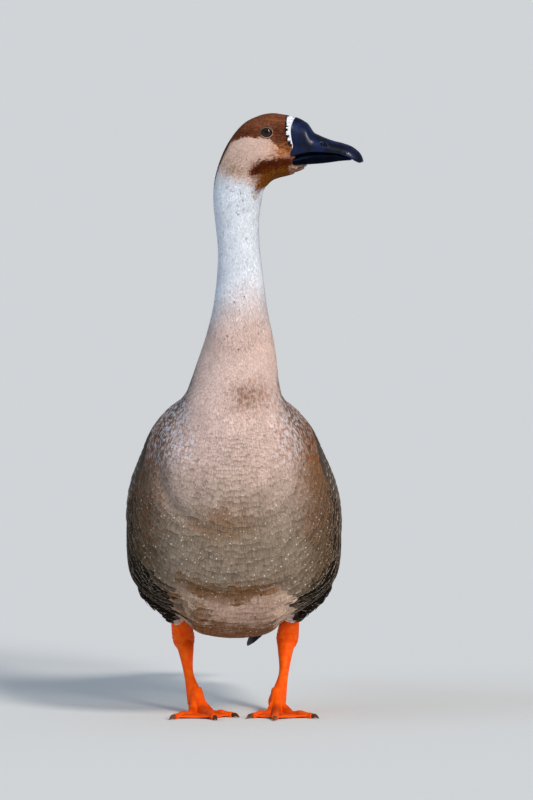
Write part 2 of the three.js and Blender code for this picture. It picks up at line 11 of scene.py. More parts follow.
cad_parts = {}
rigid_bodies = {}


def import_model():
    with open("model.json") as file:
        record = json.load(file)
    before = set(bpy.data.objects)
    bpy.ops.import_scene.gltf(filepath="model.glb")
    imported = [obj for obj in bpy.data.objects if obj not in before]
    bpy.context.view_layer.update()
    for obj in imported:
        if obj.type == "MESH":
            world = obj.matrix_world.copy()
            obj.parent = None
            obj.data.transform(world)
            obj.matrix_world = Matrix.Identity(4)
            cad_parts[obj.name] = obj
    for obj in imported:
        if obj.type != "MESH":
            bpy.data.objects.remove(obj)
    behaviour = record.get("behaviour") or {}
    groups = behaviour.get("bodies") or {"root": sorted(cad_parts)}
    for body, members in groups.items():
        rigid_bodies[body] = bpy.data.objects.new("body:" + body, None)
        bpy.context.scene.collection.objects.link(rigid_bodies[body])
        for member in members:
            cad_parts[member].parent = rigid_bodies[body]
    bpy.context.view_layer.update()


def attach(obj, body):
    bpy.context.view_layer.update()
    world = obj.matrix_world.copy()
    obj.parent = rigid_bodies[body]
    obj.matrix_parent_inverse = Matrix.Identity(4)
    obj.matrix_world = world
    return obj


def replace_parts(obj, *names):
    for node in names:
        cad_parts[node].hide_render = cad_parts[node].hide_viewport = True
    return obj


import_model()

MM = 0.001
ORIGIN = np.array([-12.31, -92.5, 0.0])  # from the goose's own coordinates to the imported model's
TURN = math.radians(82)  # of the head, to the goose's left
NECK_AXIS = 84.0  # the upright line that the neck twists about, forward of the origin
HEAD_SWAY = 6.3  # how far the head's middle stands to the goose's left

# ==== Driving dimensions of the body ======================================================================
# Ribs from the tail root (0) to the bill (26): back forward and up, belly forward and up, half width, the
# share of the height where it is widest, and the squareness above and below that.
RIBS = [
    (-264, 154, -248, 126, 28, 0.5, 2.0, 2.0),
    (-240, 171, -218, 116, 44, 0.5, 2.0, 2.0),
    (-205, 198, -178, 102, 68, 0.48, 2.05, 1.95),
    (-160, 236, -125, 91, 93, 0.46, 2.2, 1.85),
    (-110, 276, -65, 87, 111, 0.46, 2.35, 1.8),
    (-60, 315, -2, 94, 121.5, 0.46, 2.45, 2.15),
    (-15, 345, 58, 115, 122, 0.45, 2.7, 2.9),
    (15, 363, 112, 150, 110.5, 0.48, 3.1, 2.4),
    (30, 376, 148, 202, 98.5, 0.5, 2.8, 2.2),
    (37, 392, 163, 261, 82, 0.5, 1.95, 2.0),
    (41, 407, 158, 309, 61, 0.5, 2.0, 2.0),
    (44, 424, 146, 349, 51.5, 0.5, 2.0, 2.0),
    (47, 442, 134, 386, 45.5, 0.5, 2.0, 2.0),
    (50, 464, 127, 424, 38.5, 0.5, 2.0, 2.0),
    (54, 490, 121, 464, 31, 0.5, 2.0, 2.0),
    (58, 518, 114.5, 504, 26.5, 0.5, 2.0, 2.0),
    (60, 546, 109, 540, 24, 0.5, 2.0, 2.0),
    (57, 574, 107.5, 575, 24, 0.5, 2.0, 2.0),
    (55, 597, 111, 598, 24.5, 0.5, 2.0, 2.0),
    (56.5, 623, 113.7, 613.5, 24.5, 0.5, 2.0, 2.0),
    (63, 648, 118, 620, 25, 0.48, 2.0, 2.0),
    (73.5, 670.5, 123, 625, 25.5, 0.46, 2.0, 2.0),
    (89, 689.5, 130, 628, 25.5, 0.44, 2.0, 2.1),
    (107, 699, 137, 629.8, 25, 0.43, 2.05, 2.2),
    (122, 702, 143.5, 631.5, 23.5, 0.43, 2.1, 2.3),
    (136, 700.5, 149, 633, 21.5, 0.43, 2.15, 2.4),
    (151, 698, 153, 634.3, 19.5, 0.44, 2.2, 2.4),
]
# Two more ribs, by number, where the rump's feathers lie over the tail
OVER_TAIL = [(-2, -336, 113, -332, 104, 47, 0.5, 2.0, 2.0), (-1, -298, 134, -292, 119, 42, 0.5, 2.0, 2.0)]
SWAY = [(-2, 0), (3, 0.5), (5, 1), (7, -1.5), (9, -1.2), (11, 1.5), (13, 7), (14.5, 7.5), (16.5, 6),
        (19, 5.5), (21, 6.3), (27, 6.3)]
TWIST = (12, 21)  # the neck turns between these ribs
FRONT_RIB, REAR_RIB = 26.0, -1.9
COAT_DEPTH = [(-2, 7), (10, 7), (13, 4.5), (19, 3), (21, 1.8), (26, 1.2)]  # by rib

BILL_ROOT = 149.5  # forward of the origin, where the feathers end on the midline
# Setback of that line on the sides, by height
SETBACK = [(630, 0), (645, 0.6), (649, 2.4), (653, 4.2), (657, 3.9), (661, 2.2), (665, 0.6), (668, 1.0),
           (673, 2.2), (683, 4.3), (692, 5.9), (700, 7.5), (720, 7.5)]
SETBACK_SIDE = 17.0
EYE = {"forward": 119.0, "up": 681.0, "out": 13.6, "radius": 9.3}

TAIL_TOP = [(-236, 158), (-268, 149), (-308, 129), (-348, 106)]  # forward and up, from root to tip
TAIL_LOW = [(-226, 132), (-264, 131), (-306, 119), (-347, 102)]
TAIL_HALF = [(34,), (45,), (54,), (59,)]
# The tips of the folded wings, as (side, forward, up), and the way that each blade's flat side looks
TIPS = {
    "left": ([(99, -110, 190), (84, -168, 144), (52, -231, 97), (12.5, -297, 49)], (0.9, 0.35, 0.25)),
    "right": ([(-88, -150, 206), (-66, -205, 178), (-36, -264, 157), (4, -328, 126)], (-0.5, 0.35, 0.8)),
}
TIP_SIZES = [(50, 8), (46, 7), (32, 5), (8, 1.8)]
WING_LIFT = 0.9

THIGHS = {"left": ((84, 2, 174), (65, 54, 105)), "right": ((-83, 2, 174), (-61.5, 54, 105))}
THIGH_RADII = [(0, 37), (0.25, 36), (0.5, 29), (0.75, 18), (0.9, 13.5), (1, 10.5)]
THIGH_FLATNESS = 0.92
# Forward, up, half width and depth along the chin, and the share of its length, from the front, at each
CHIN = [(126, 641, 13.5, 7.2), (148, 641.2, 10.9, 5.7), (163, 643.4, 4.2, 1.8)]
CHIN_SHARES = [0, 0.41, 1]


# ==== Small maths =========================================================================================
def smooth(value, low, high):
    """0 at low and 1 at high, eased. It falls instead where high is less than low."""
    share = np.clip((value - low) / (high - low), 0, 1)
    return share * share * (3 - 2 * share)


def hill(*terms):
    """1 at the middle of a rounded rise and less all round it. For each direction the terms are a value, its
    middle and its reach."""
    fall = 0
    for value, middle, reach in zip(terms[::3], terms[1::3], terms[2::3]):
        fall = fall + ((value - middle) / reach) ** 2
    return np.exp(-fall)


def unit(vectors):
    return vectors / np.maximum(np.linalg.norm(vectors, axis=-1, keepdims=True), 1e-9)


def round_angles(count):
    return np.arange(count) / count * 2 * math.pi


def curve(table):
    """A smooth function through rows of (position, value, ...), straight beyond both ends."""
    rows = np.array(table, float)
    x, y = rows[:, 0], rows[:, 1:]
    slope = np.gradient(y, x, axis=0)

    def at(q):
        q = np.asarray(q, float)
        inside = np.clip(q, x[0], x[-1])
        i = np.clip(np.searchsorted(x, inside) - 1, 0, len(x) - 2)
        width = (x[i + 1] - x[i])[..., None]
        t = (inside - x[i])[..., None] / width
        start, rise = y[i], y[i + 1] - y[i]
        bend_in, bend_out = slope[i] * width, slope[i + 1] * width
        value = start + rise * t * t * (3 - 2 * t)
        value += t * (1 - t) ** 2 * bend_in - t * t * (1 - t) * bend_out
        end_slope = np.where((q < x[0])[..., None], slope[0], slope[-1])
        value = value + end_slope * (q - inside)[..., None]
        return value[..., 0] if y.shape[1] == 1 else value

    return at


def even_curve(rows):
    """A smooth function through rows that are evenly spaced from 0 to 1."""
    return curve([(i / (len(rows) - 1), *row) for i, row in enumerate(rows)])


def turn_about_z(points, angle):
    x, y = points[..., 0], points[..., 1]
    cosine, sine = math.cos(angle), math.sin(angle)
    turned = np.stack([x * cosine - y * sine, x * sine + y * cosine], -1)
    return np.concatenate([turned, points[..., 2:]], -1)


def place_on_head(points):
    """Takes points from the head's own (side, -forward, up) to where the head is."""
    return turn_about_z(points + [0, NECK_AXIS, 0], TURN) + [HEAD_SWAY, -NECK_AXIS, 0]


def from_head(side, forward, up):
    """The place of a point that is given in the head's own side, forward and up."""
    points = np.stack(np.broadcast_arrays(side, -np.asarray(forward, float), up), -1)
    return place_on_head(points.astype(float))


def to_head(points):
    """(side, forward, up) in the head's own coordinates."""
    back = turn_about_z(points - [HEAD_SWAY, -NECK_AXIS, 0], -TURN)
    return back[..., 0], NECK_AXIS - back[..., 1], back[..., 2]


def feather_line(side, up):
    """How far forward the feathers reach where they meet the bill."""
    return BILL_ROOT - curve(SETBACK)(up) * np.clip((side / SETBACK_SIDE) ** 2, 0, 1)


# ==== Surfaces that feathers are laid on ==================================================================
class Surface:
    """A grid of points round part of the goose. Its rows follow the lie of the feathers, and its columns go
    round and meet."""

    def __init__(self, points):
        self.rows, self.columns = points.shape[:2]
        along = np.gradient(points, axis=0)
        around = (np.roll(points, -1, axis=1) - np.roll(points, 1, axis=1)) / 2
        self.points = points
        self.normals = unit(np.cross(along, around))
        self.fields = np.concatenate([points, along, around, self.normals], -1)

    def at(self, row, column):
        """Point, step per row, step per column and outward normal there."""
        row = np.clip(row, 0, self.rows - 1.001)
        i = np.floor(row).astype(int)
        j = np.floor(column).astype(int)
        a = (row - i)[..., None]
        b = (column - j)[..., None]
        left, right = j % self.columns, (j + 1) % self.columns
        near = self.fields[i, left] * (1 - b) + self.fields[i, right] * b
        far = self.fields[i + 1, left] * (1 - b) + self.fields[i + 1, right] * b
        mixed = near * (1 - a) + far * a
        return mixed[..., :3], mixed[..., 3:6], mixed[..., 6:9], unit(mixed[..., 9:])

    def steps(self, along, around, vector):
        """The rows and columns that a step along the surface comes to."""
        aa, ab, bb = (along * along).sum(-1), (along * around).sum(-1), (around * around).sum(-1)
        va, vb = (along * vector).sum(-1), (around * vector).sum(-1)
        det = np.maximum(aa * bb - ab * ab, 1e-6)
        return (va * bb - vb * ab) / det, (vb * aa - va * ab) / det

    def field(self, values, row, column):
        """A value of a grid like this one at each place."""
        i = np.clip(np.round(row).astype(int), 0, self.rows - 1)
        return values[i, np.round(column).astype(int) % self.columns]

    def raised(self, heights):
        return Surface(self.points + self.normals * heights[..., None])


def even_columns(rings, columns):
    """The same rings, with points evenly spaced round each."""
    closed = np.concatenate([rings, rings[:, :1]], 1)
    lengths = np.linalg.norm(np.diff(closed, axis=1), axis=-1)
    travelled = np.concatenate([np.zeros((len(rings), 1)), np.cumsum(lengths, axis=1)], 1)
    even = np.empty((len(rings), columns, 3))
    for ring, (distance, points) in enumerate(zip(travelled, closed)):
        wanted = np.arange(columns) / columns * distance[-1]
        for axis in range(3):
            even[ring, :, axis] = np.interp(wanted, distance, points[:, axis])
    return even


def body_rings(ribs, angles):
    """The body's section at each rib number, from the belly round by the left side."""
    rib = curve([*OVER_TAIL, *[(i, *row) for i, row in enumerate(RIBS)]])(ribs)[:, None, :]
    back, belly = rib[..., 0:2], rib[..., 2:4]
    half, full, square, keel = [rib[..., i] for i in range(4, 8)]
    out, up = np.sin(angles)[None, :], -np.cos(angles)[None, :]
    below = up < 0
    corner = np.where(below, keel, square)
    centre = belly + (back - belly) * full[..., None]
    end = np.where(below[..., None], belly, back)
    in_plane = centre + (end - centre) * (np.abs(up) ** (2 / corner))[..., None]
    side = np.sign(out) * np.abs(out) ** (2 / corner) * half
    points = np.stack([side + 0 * in_plane[..., 0], NECK_AXIS - in_plane[..., 0], in_plane[..., 1]], -1)
    turn = TURN * smooth(ribs, *TWIST)
    points = np.stack([turn_about_z(ring, angle) for ring, angle in zip(points, turn)])
    points[..., 0] += curve(SWAY)(ribs)[:, None]
    points[..., 1] -= NECK_AXIS
    return points


BODY_ROWS, BODY_COLUMNS = 960, 420
RIB_AT_ROW = np.linspace(FRONT_RIB, REAR_RIB, BODY_ROWS)

# Forms of the breast and belly, seen from the front, in millimetres. Each pair called aside, up or forward is
# where the form is nothing and where it is full.
CROP = {"centre": (-4, 316), "radii": (84, 89), "bulge": 2.5, "rim": (1.05, 0.8), "forward": (70, 120)}
FURROW = {"depth": 2.2, "middle": 1.02, "width": 0.08, "up": (330, 270)}
CREASE = {"height": 149.0, "rise": 13.0, "half": 57.0, "most": 1.5, "depth": 6.0, "width": 7.5,
          "aside": (72, 58), "forward": (0, 40)}
PARTING = {"half": 56.0, "width": 6.5, "depth": 4.5, "up": (158, 138), "forward": (-70, -20)}
ROLL = {"size": 2.0, "aside": (50, 34), "up": (140, 124), "forward": (-60, -10)}
FLANK = {"size": -9.0, "aside": (52, 68), "up": (172, 118), "forward": (-120, -60)}
SHOULDER = {"height": 312.0, "tall": 34.0, "slope": 4.0, "aside": (55, 90), "forward": (-60, 10)}
# The cheek, lore and brow: how far each stands out, and its middle and reach forward and up
HEAD_FORMS = [(1.0, 104, 14, 655, 11), (-1.2, 136, 7, 672, 9), (0.7, 120, 9, 689.5, 3)]
HEAD_FORM_RIBS, HEAD_FORM_SIDES = (20.5, 21.5), (8, 15)


def crease_height(x):
    """The height of the crease over the belly's roll, to each side."""
    return CREASE["height"] + CREASE["rise"] * np.minimum((x / CREASE["half"]) ** 2, CREASE["most"])


def body_relief(points, ribs):
    """How far the plumage stands out or in at each point: the crop's lobe, the furrow under it, the crease
    over the belly's roll and its partings, the flanks, the shoulders, and the forms of the head."""
    x, forward, up = points[..., 0], -points[..., 1], points[..., 2]
    aside = np.abs(x)
    (crop_x, crop_up), (wide, tall) = CROP["centre"], CROP["radii"]
    from_crop = np.hypot((x - crop_x) / wide, (up - crop_up) / tall)
    facing = smooth(forward, *CROP["forward"])
    relief = CROP["bulge"] * smooth(from_crop, *CROP["rim"]) * facing
    furrow = hill(from_crop, FURROW["middle"], FURROW["width"]) * facing * smooth(up, *FURROW["up"])
    relief -= FURROW["depth"] * furrow
    groove = hill(up, crease_height(x), CREASE["width"]) * smooth(aside, *CREASE["aside"])
    relief -= CREASE["depth"] * groove * smooth(forward, *CREASE["forward"])
    parting = hill(aside, PARTING["half"], PARTING["width"]) * smooth(up, *PARTING["up"])
    relief -= PARTING["depth"] * parting * smooth(forward, *PARTING["forward"])
    for form in (ROLL, FLANK):
        shown = smooth(aside, *form["aside"]) * smooth(up, *form["up"]) * smooth(forward, *form["forward"])
        relief += form["size"] * shown
    shoulder = hill(up, SHOULDER["height"], SHOULDER["tall"]) * smooth(aside, *SHOULDER["aside"])
    relief -= SHOULDER["slope"] * shoulder * smooth(forward, *SHOULDER["forward"])
    side, ahead, height = to_head(points)
    on_head = smooth(ribs, *HEAD_FORM_RIBS)[:, None] * smooth(np.abs(side), *HEAD_FORM_SIDES)
    forms = [size * hill(ahead, at, long, height, top, reach) for size, at, long, top, reach in HEAD_FORMS]
    return relief + on_head * sum(forms)


def body_surface():
    plain = Surface(even_columns(body_rings(RIB_AT_ROW, round_angles(1440)), BODY_COLUMNS))
    return plain.raised(body_relief(plain.points, RIB_AT_ROW))


def limb_surface(path, radii, rows, columns, wide=(1, 0, 0)):
    """A rounded limb. radii gives half width and half depth by share of its length."""
    shares = np.linspace(0, 1, rows)
    centres = even_curve(path)(shares)
    onward = unit(np.gradient(centres, axis=0))
    deep = unit(np.cross(onward, np.array(wide, float)))
    broad = np.cross(deep, onward)
    sizes = curve(radii)(shares)
    angles = round_angles(columns)
    ring = broad[:, None] * np.cos(angles)[None, :, None] * sizes[:, None, 0:1]
    ring = ring - deep[:, None] * np.sin(angles)[None, :, None] * sizes[:, None, 1:2]
    return Surface(centres[:, None] + ring)


def thigh_surface(side, inset):
    hip, bare = [np.array(p, float) for p in THIGHS[side]]
    radii = [(share, (radius - inset) * THIGH_FLATNESS, radius - inset) for share, radius in THIGH_RADII]
    path = [hip + (bare - hip) * share for share in np.linspace(0, 1, 5)]
    return limb_surface(path, radii, 120, 120)


def chin_surface(inset):
    path = place_on_head(np.array([(0.0, -forward, up) for forward, up, _, _ in CHIN[::-1]]))
    sizes = [(half - inset, deep - inset) for _, _, half, deep in CHIN[::-1]]
    radii = [(share, *size) for share, size in zip(CHIN_SHARES, sizes)]
    return limb_surface(path, radii, 90, 72, turn_about_z(np.array([1.0, 0, 0]), TURN))


# ==== Meshes ==============================================================================================
def in_metres(points):
    """Points in the goose's own millimetres as one flat row of metres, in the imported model's place."""
    return ((points + ORIGIN) * MM).astype(np.float32).ravel()


def add_values(mesh, attributes):
    for key, values in attributes.items():
        layer = mesh.attributes.new(key, "FLOAT", "POINT")
        layer.data.foreach_set("value", values.astype(np.float32))


def mesh_object(name, points, faces, materials=(), attributes=None, uv=None):
    """An object from points in millimetres and arrays of faces, one array for each number of corners. uv is
    by point."""
    mesh = bpy.data.meshes.new(name)
    corners = np.concatenate([group.ravel() for group in faces]).astype(np.int32)
    sizes = np.concatenate([np.full(len(group), group.shape[1]) for group in faces])
    starts = np.concatenate([[0], np.cumsum(sizes)[:-1]]).astype(np.int32)
    mesh.vertices.add(len(points))
    mesh.vertices.foreach_set("co", in_metres(points))
    mesh.loops.add(len(corners))
    mesh.loops.foreach_set("vertex_index", corners)
    mesh.polygons.add(len(sizes))
    mesh.polygons.foreach_set("loop_start", starts)
    mesh.update(calc_edges=True)
    mesh.polygons.foreach_set("use_smooth", np.ones(len(sizes), bool))
    add_values(mesh, attributes or {})
    if uv is not None:
        layer = mesh.uv_layers.new(name="OFBake")
        layer.data.foreach_set("uv", uv[corners].astype(np.float32).ravel())
    obj = bpy.data.objects.new(name, mesh)
    bpy.context.scene.collection.objects.link(obj)
    for material in materials:
        mesh.materials.append(material)
    return obj


def piece(obj, slot, *nodes):
    """obj is part of the goose, and stands for those CAD nodes. slot is not used."""
    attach(obj, "root")
    if nodes:
        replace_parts(obj, *nodes)
    return obj


def grid_faces(rows, columns):
    """Quads over a grid whose columns meet, facing out where its rows and columns turn as a Surface's do."""
    i, j = np.meshgrid(np.arange(rows - 1), np.arange(columns), indexing="ij")
    here, beside = i * columns + j, i * columns + (j + 1) % columns
    return np.stack([here, here + columns, beside + columns, beside], -1).reshape(-1, 4)


def capped(points):
    """Points and faces of a grid of rings with both ends closed."""
    rows, columns = points.shape[:2]
    ends = np.stack([points[0].mean(0), points[-1].mean(0)])
    first = np.arange(columns)
    following = (first + 1) % columns
    middle = rows * columns
    last = middle - columns
    start_cap = np.stack([first, following, np.full(columns, middle)], -1)
    end_cap = np.stack([last + following, last + first, np.full(columns, middle + 1)], -1)
    faces = [grid_faces(rows, columns), np.concatenate([start_cap, end_cap])]
    return np.concatenate([points.reshape(-1, 3), ends]), faces


def join_into(target, others):
    bpy.ops.object.select_all(action="DESELECT")
    for obj in (target, *others):
        obj.select_set(True)
    bpy.context.view_layer.objects.active = target
    bpy.ops.object.join()


# ==== Materials ===========================================================================================
def put(socket, value):
    if isinstance(value, bpy.types.NodeSocket):
        socket.id_data.links.new(value, socket)
    else:
        socket.default_value = value


def node(tree, kind, inputs=None, **settings):
    made = tree.nodes.new("ShaderNode" + kind)
    for key, value in settings.items():
        setattr(made, key, value)
    for key, value in (inputs or {}).items():
        put(made.inputs[key], value)
    return made


def sums(tree, operation, a, b=0.0, c=0.0):
    return node(tree, "Math", {0: a, 1: b, 2: c}, operation=operation).outputs[0]


def times(tree, a, b):
    return sums(tree, "MULTIPLY", a, b)


def less(tree, a, b):
    return sums(tree, "SUBTRACT", a, b)


def blend(tree, share, a, b, mode="MIX"):
    return node(tree, "Mix", {0: share, 6: a, 7: b}, data_type="RGBA", blend_type=mode).outputs[2]


def between(tree, value, low, high, floor=0.0, ceiling=1.0):
    """floor where value is low and ceiling where it is high, eased."""
    inputs = {0: value, 1: low, 2: high, 3: floor, 4: ceiling}
    return node(tree, "MapRange", inputs, interpolation_type="SMOOTHSTEP").outputs[0]


def reading(tree, name):
    return node(tree, "Attribute", attribute_name=name).outputs["Fac"]


def noise(tree, scale, detail=2.0, stretch=(1, 1, 1)):
    """Noise with that many features in a metre."""
    place = node(tree, "TexCoord").outputs["Object"]
    place = node(tree, "Mapping", {0: place, 3: stretch}).outputs[0]
    return node(tree, "TexNoise", {"Vector": place, "Scale": scale, "Detail": detail}).outputs[0]


def grey(tree, value):
    return node(tree, "CombineColor", {0: value, 1: value, 2: value}).outputs[0]


def bumped(tree, shader, strength, distance, height):
    bump = node(tree, "Bump", {"Strength": strength, "Distance": distance, "Height": height})
    put(shader.inputs["Normal"], bump.outputs[0])


def rgb(code):
    """A colour from its six hexadecimal digits, in linear light."""
    parts = [int(code[i : i + 2], 16) / 255 for i in (0, 2, 4)]
    return (*[p / 12.92 if p <= 0.04045 else ((p + 0.055) / 1.055) ** 2.4 for p in parts], 1.0)


def group(name, inputs, outputs):
    """A new shader node group, with its inner sockets by name. Each input is (name, kind, value)."""
    tree = bpy.data.node_groups.new(name, "ShaderNodeTree")
    for label, kind, value in inputs:
        socket = tree.interface.new_socket(label, in_out="INPUT", socket_type="NodeSocket" + kind)
        socket.default_value = value
    for label, kind in outputs:
        tree.interface.new_socket(label, in_out="OUTPUT", socket_type="NodeSocket" + kind)
    return tree, tree.nodes.new("NodeGroupInput").outputs, tree.nodes.new("NodeGroupOutput").inputs


def use(tree, made, inputs):
    placed = tree.nodes.new("ShaderNodeGroup")
    placed.node_tree = made
    for key, value in inputs.items():
        put(placed.inputs[key], value)
    return placed.outputs


def material(name, **constants):
    """A new material, its node tree and its Principled shader, with sockets set to plain values."""
    made = bpy.data.materials.new(name)
    made.use_nodes = True
    shader = made.node_tree.nodes["Principled BSDF"]
    for key, value in constants.items():
        shader.inputs[key.replace("_", " ")].default_value = value
    return made, made.node_tree, shader


# The plumage's markings, each painted over the ones before it
GROUND = rgb("877869")
# Some of these hold painted shade: the near-black of the flanks, the brown along the belly's crease, the jowl
# and the throat
CODES = {"buff": "CEB2A8", "brown": "4A3722", "warm": "744A20", "cream": "C0A08E", "wing": "6A5C50",
         "quill": "15171F", "fleck": "7C4624", "ash": "C9C3CA", "tuft": "F0CEB3", "flank": "0D0703",
         "white": "D7DCE5", "cheek": "D0B0A2", "jowl": "9C8472", "nape": "55301C", "cap": "74432E",
         "lore": "4A2413", "tan": "A8683C", "throat": "6C3C10", "rust": "481A02", "band": "F0F3FC",
         "line": "1C0A08"}
MARKINGS = {name: rgb(code) for name, code in CODES.items()}
FRINGE = rgb("DCC3AA")
STREAKY = ("jowl", "lore", "tan", "throat", "rust", "cap")
# The first of these is painted shade for each feather's root, and the third is the painted glint of a water
# drop at a tip.
PAINTED_ROOT_SHADE, SHAFT, DEW_GLINT = (0.03, 0.02, 0.015, 1), (0.01, 0.008, 0.006, 1), (0.85, 0.8, 0.72, 1)
# Painted shade for the skin under the coat
SHADE_UNDER_COAT = (0.05, 0.035, 0.03, 1)


def shaded(paint, light):
    return (*[part * light for part in paint[:3]], 1.0)


def markings_group():
    """The paints, each over the ones before it. The flecks and the ash are broken up into fine mottles, and
    the edges of the head's colours into streaks along the lie of its feathers."""
    tree, _, out = group("goose_markings", [], [("Colour", "Color")])
    fine = noise(tree, 300.0, 3.0, (1, 1, 0.6))
    specks = {"fleck": between(tree, fine, 0.44, 0.62), "ash": between(tree, fine, 0.54, 0.38)}
    streaks = less(tree, noise(tree, 520.0, 3.0, (0.35, 1, 1)), 0.5)
    grain = between(tree, noise(tree, 620.0, 3.0, (0.5, 1, 1)), 0.36, 0.64)
    colour = GROUND
    for name, paint in MARKINGS.items():
        share = reading(tree, name)
        if name in specks:
            share = times(tree, share, specks[name])
        if name in STREAKY:
            part_way = times(tree, share, less(tree, 1.0, share))
            share = sums(tree, "MULTIPLY_ADD", part_way, times(tree, streaks, 7.0), share)
            share = node(tree, "Clamp", {0: share}).outputs[0]
            paint = blend(tree, grain, shaded(paint, 0.7), shaded(paint, 1.35))
        colour = blend(tree, share, colour, paint)
    cloudy = between(tree, noise(tree, 38.0, 3.0), 0.3, 0.7, 0.9, 1.06)
    put(out["Colour"], blend(tree, 1.0, colour, grey(tree, cloudy), "MULTIPLY"))
    return tree


def vane_group():
    """A feather's pattern: fine barbs that run out along it, a pale fringe, painted shade where the feather
    before it lies over its root and a little at its tip, a shaft, a painted glint of a water drop at some
    tips, and a tone of its own."""
    amounts = {"Fringe width": 0.1, "Side fringe": 0.0, "Barbs": 7.0, "Root shade": 0.2, "Shown from": 0.7}
    inputs = [("Colour", "Color", (0.5, 0.5, 0.5, 1))]
    inputs += [(key, "Float", value) for key, value in amounts.items()]
    tree, given, out = group("feather_vane", inputs, [("Colour", "Color"), ("Height", "Float")])
    along, across, tone = reading(tree, "along"), reading(tree, "across"), reading(tree, "tone")
    edge = sums(tree, "ABSOLUTE", across)
    swept = sums(tree, "MULTIPLY_ADD", edge, -0.35, along)
    spread = times(tree, across, given["Barbs"])
    place = {0: spread, 1: times(tree, swept, 1.6), 2: times(tree, tone, 90.0)}
    place = node(tree, "CombineXYZ", place).outputs[0]
    barbs = node(tree, "TexNoise", {"Vector": place, "Scale": 1.0, "Detail": 3.0}).outputs[0]
    loose = sums(tree, "MULTIPLY_ADD", less(tree, barbs, 0.5), 0.14, along)
    sideways = times(tree, sums(tree, "POWER", edge, 2.5), given["Side fringe"])
    rim = sums(tree, "MAXIMUM", sideways, loose)
    start = less(tree, 1.0, given["Fringe width"])
    fringe = times(tree, between(tree, rim, start, 1.0), reading(tree, "fringe"))
    toning = between(tree, tone, 0.0, 1.0, 0.93, 1.06)
    brightness = times(tree, toning, between(tree, barbs, 0.3, 0.7, 0.77, 1.19))
    toned = blend(tree, 1.0, given["Colour"], grey(tree, brightness), "MULTIPLY")
    # Painted shade: darker where the feather before lies over the root, and a little darker at the tip
    frayed = sums(tree, "MULTIPLY_ADD", less(tree, barbs, 0.5), 0.22, along)
    centre = sums(tree, "MULTIPLY_ADD", given["Shown from"], 0.35, 0.65)
    half = times(tree, less(tree, 1.0, given["Shown from"]), 0.65)
    beyond_centre = sums(tree, "DIVIDE", less(tree, frayed, centre), half)
    near_root = between(tree, beyond_centre, -0.1, -1.0)
    painted_shade = sums(tree, "MAXIMUM", near_root, between(tree, beyond_centre, 0.2, 1.1, 0.0, 0.2))
    dimmed = blend(tree, times(tree, painted_shade, given["Root shade"]), toned, PAINTED_ROOT_SHADE)
    shaft = times(tree, between(tree, edge, 0.0, 0.09, 0.35, 0.0), reading(tree, "shaft"))
    dimmed = blend(tree, shaft, dimmed, SHAFT)
    fringed = blend(tree, fringe, dimmed, FRINGE)
    # A painted glint of a water drop at the tips of some feathers
    bead_along = sums(tree, "POWER", sums(tree, "DIVIDE", less(tree, along, 0.95), 0.02), 2.0)
    bead_across = sums(tree, "POWER", sums(tree, "DIVIDE", across, 0.085), 2.0)
    from_bead = sums(tree, "ADD", bead_along, bead_across)
    glinting = times(tree, between(tree, from_bead, 1.2, 0.7), reading(tree, "dew"))
    put(out["Colour"], blend(tree, glinting, fringed, DEW_GLINT))
    put(out["Height"], barbs)
    return tree


MARKINGS_GROUP = markings_group()
VANE_GROUP = vane_group()


def plumage_material(name, fringe_width, side_fringe, barbs, root_shade, shown_from, roughness):
    made, tree, shader = material(name, Specular_IOR_Level=0.03)
    colour = use(tree, MARKINGS_GROUP, {})["Colour"]
    pattern = {"Colour": colour, "Fringe width": fringe_width, "Side fringe": side_fringe, "Barbs": barbs,
               "Root shade": root_shade, "Shown from": shown_from}
    vane = use(tree, VANE_GROUP, pattern)
    put(shader.inputs["Base Color"], vane["Colour"])
    rough = between(tree, noise(tree, 300.0), 0.3, 0.7, roughness - 0.06, roughness + 0.06)
    put(shader.inputs["Roughness"], rough)
    bumped(tree, shader, 0.25, 0.0003, vane["Height"])
    return made


def skin_material():
    made, tree, shader = material("downy_skin", Roughness=0.9, Specular_IOR_Level=0.2)
    colour = use(tree, MARKINGS_GROUP, {})["Colour"]
    # Painted shade: the skin under the coat is darkened a little
    put(shader.inputs["Base Color"], blend(tree, 0.15, colour, SHADE_UNDER_COAT))
    bumped(tree, shader, 0.5, 0.0006, noise(tree, 900.0))
    return made


SHORT_PLUMAGE = plumage_material("short_plumage", 0.1, 0.0, 2.5, 0.14, 0.62, 0.76)
BODY_PLUMAGE = plumage_material("body_plumage", 0.04, 0.0, 6.0, 0.28, 0.77, 0.72)
LONG_PLUMAGE = plumage_material("long_plumage", 0.08, 1.0, 14.0, 0.4, 0.62, 0.55)
SKIN = skin_material()

# ==== The goose's markings, as masks from 0 to 1 ==========================================================
CAP_LINE = [(50, 666), (66, 669), (78, 669.5), (85, 672), (94, 674.7), (102, 675.2), (109, 674.6), (116, 674),
            (123, 671.8), (128, 667.5), (133, 662.5), (143, 657.5), (150, 653)]
RUST_PATH = [(150, 648.5, 4.5), (138, 647.5, 5.5), (127, 646, 6.0), (114, 642, 6.5), (103, 635, 4.5)]
STREAK_PATH = [(122, 630, 3.5), (109, 618, 4.5), (104, 605, 3.0)]
NECK_RIBS = (11.3, 12.2)  # between them the body becomes neck
BAND_WIDTH = [(655, -4), (662.5, -0.5), (666, 2.6), (670, 4.2), (680, 4.6), (690, 4.6), (695, 6.3),
              (700, 8.6)]


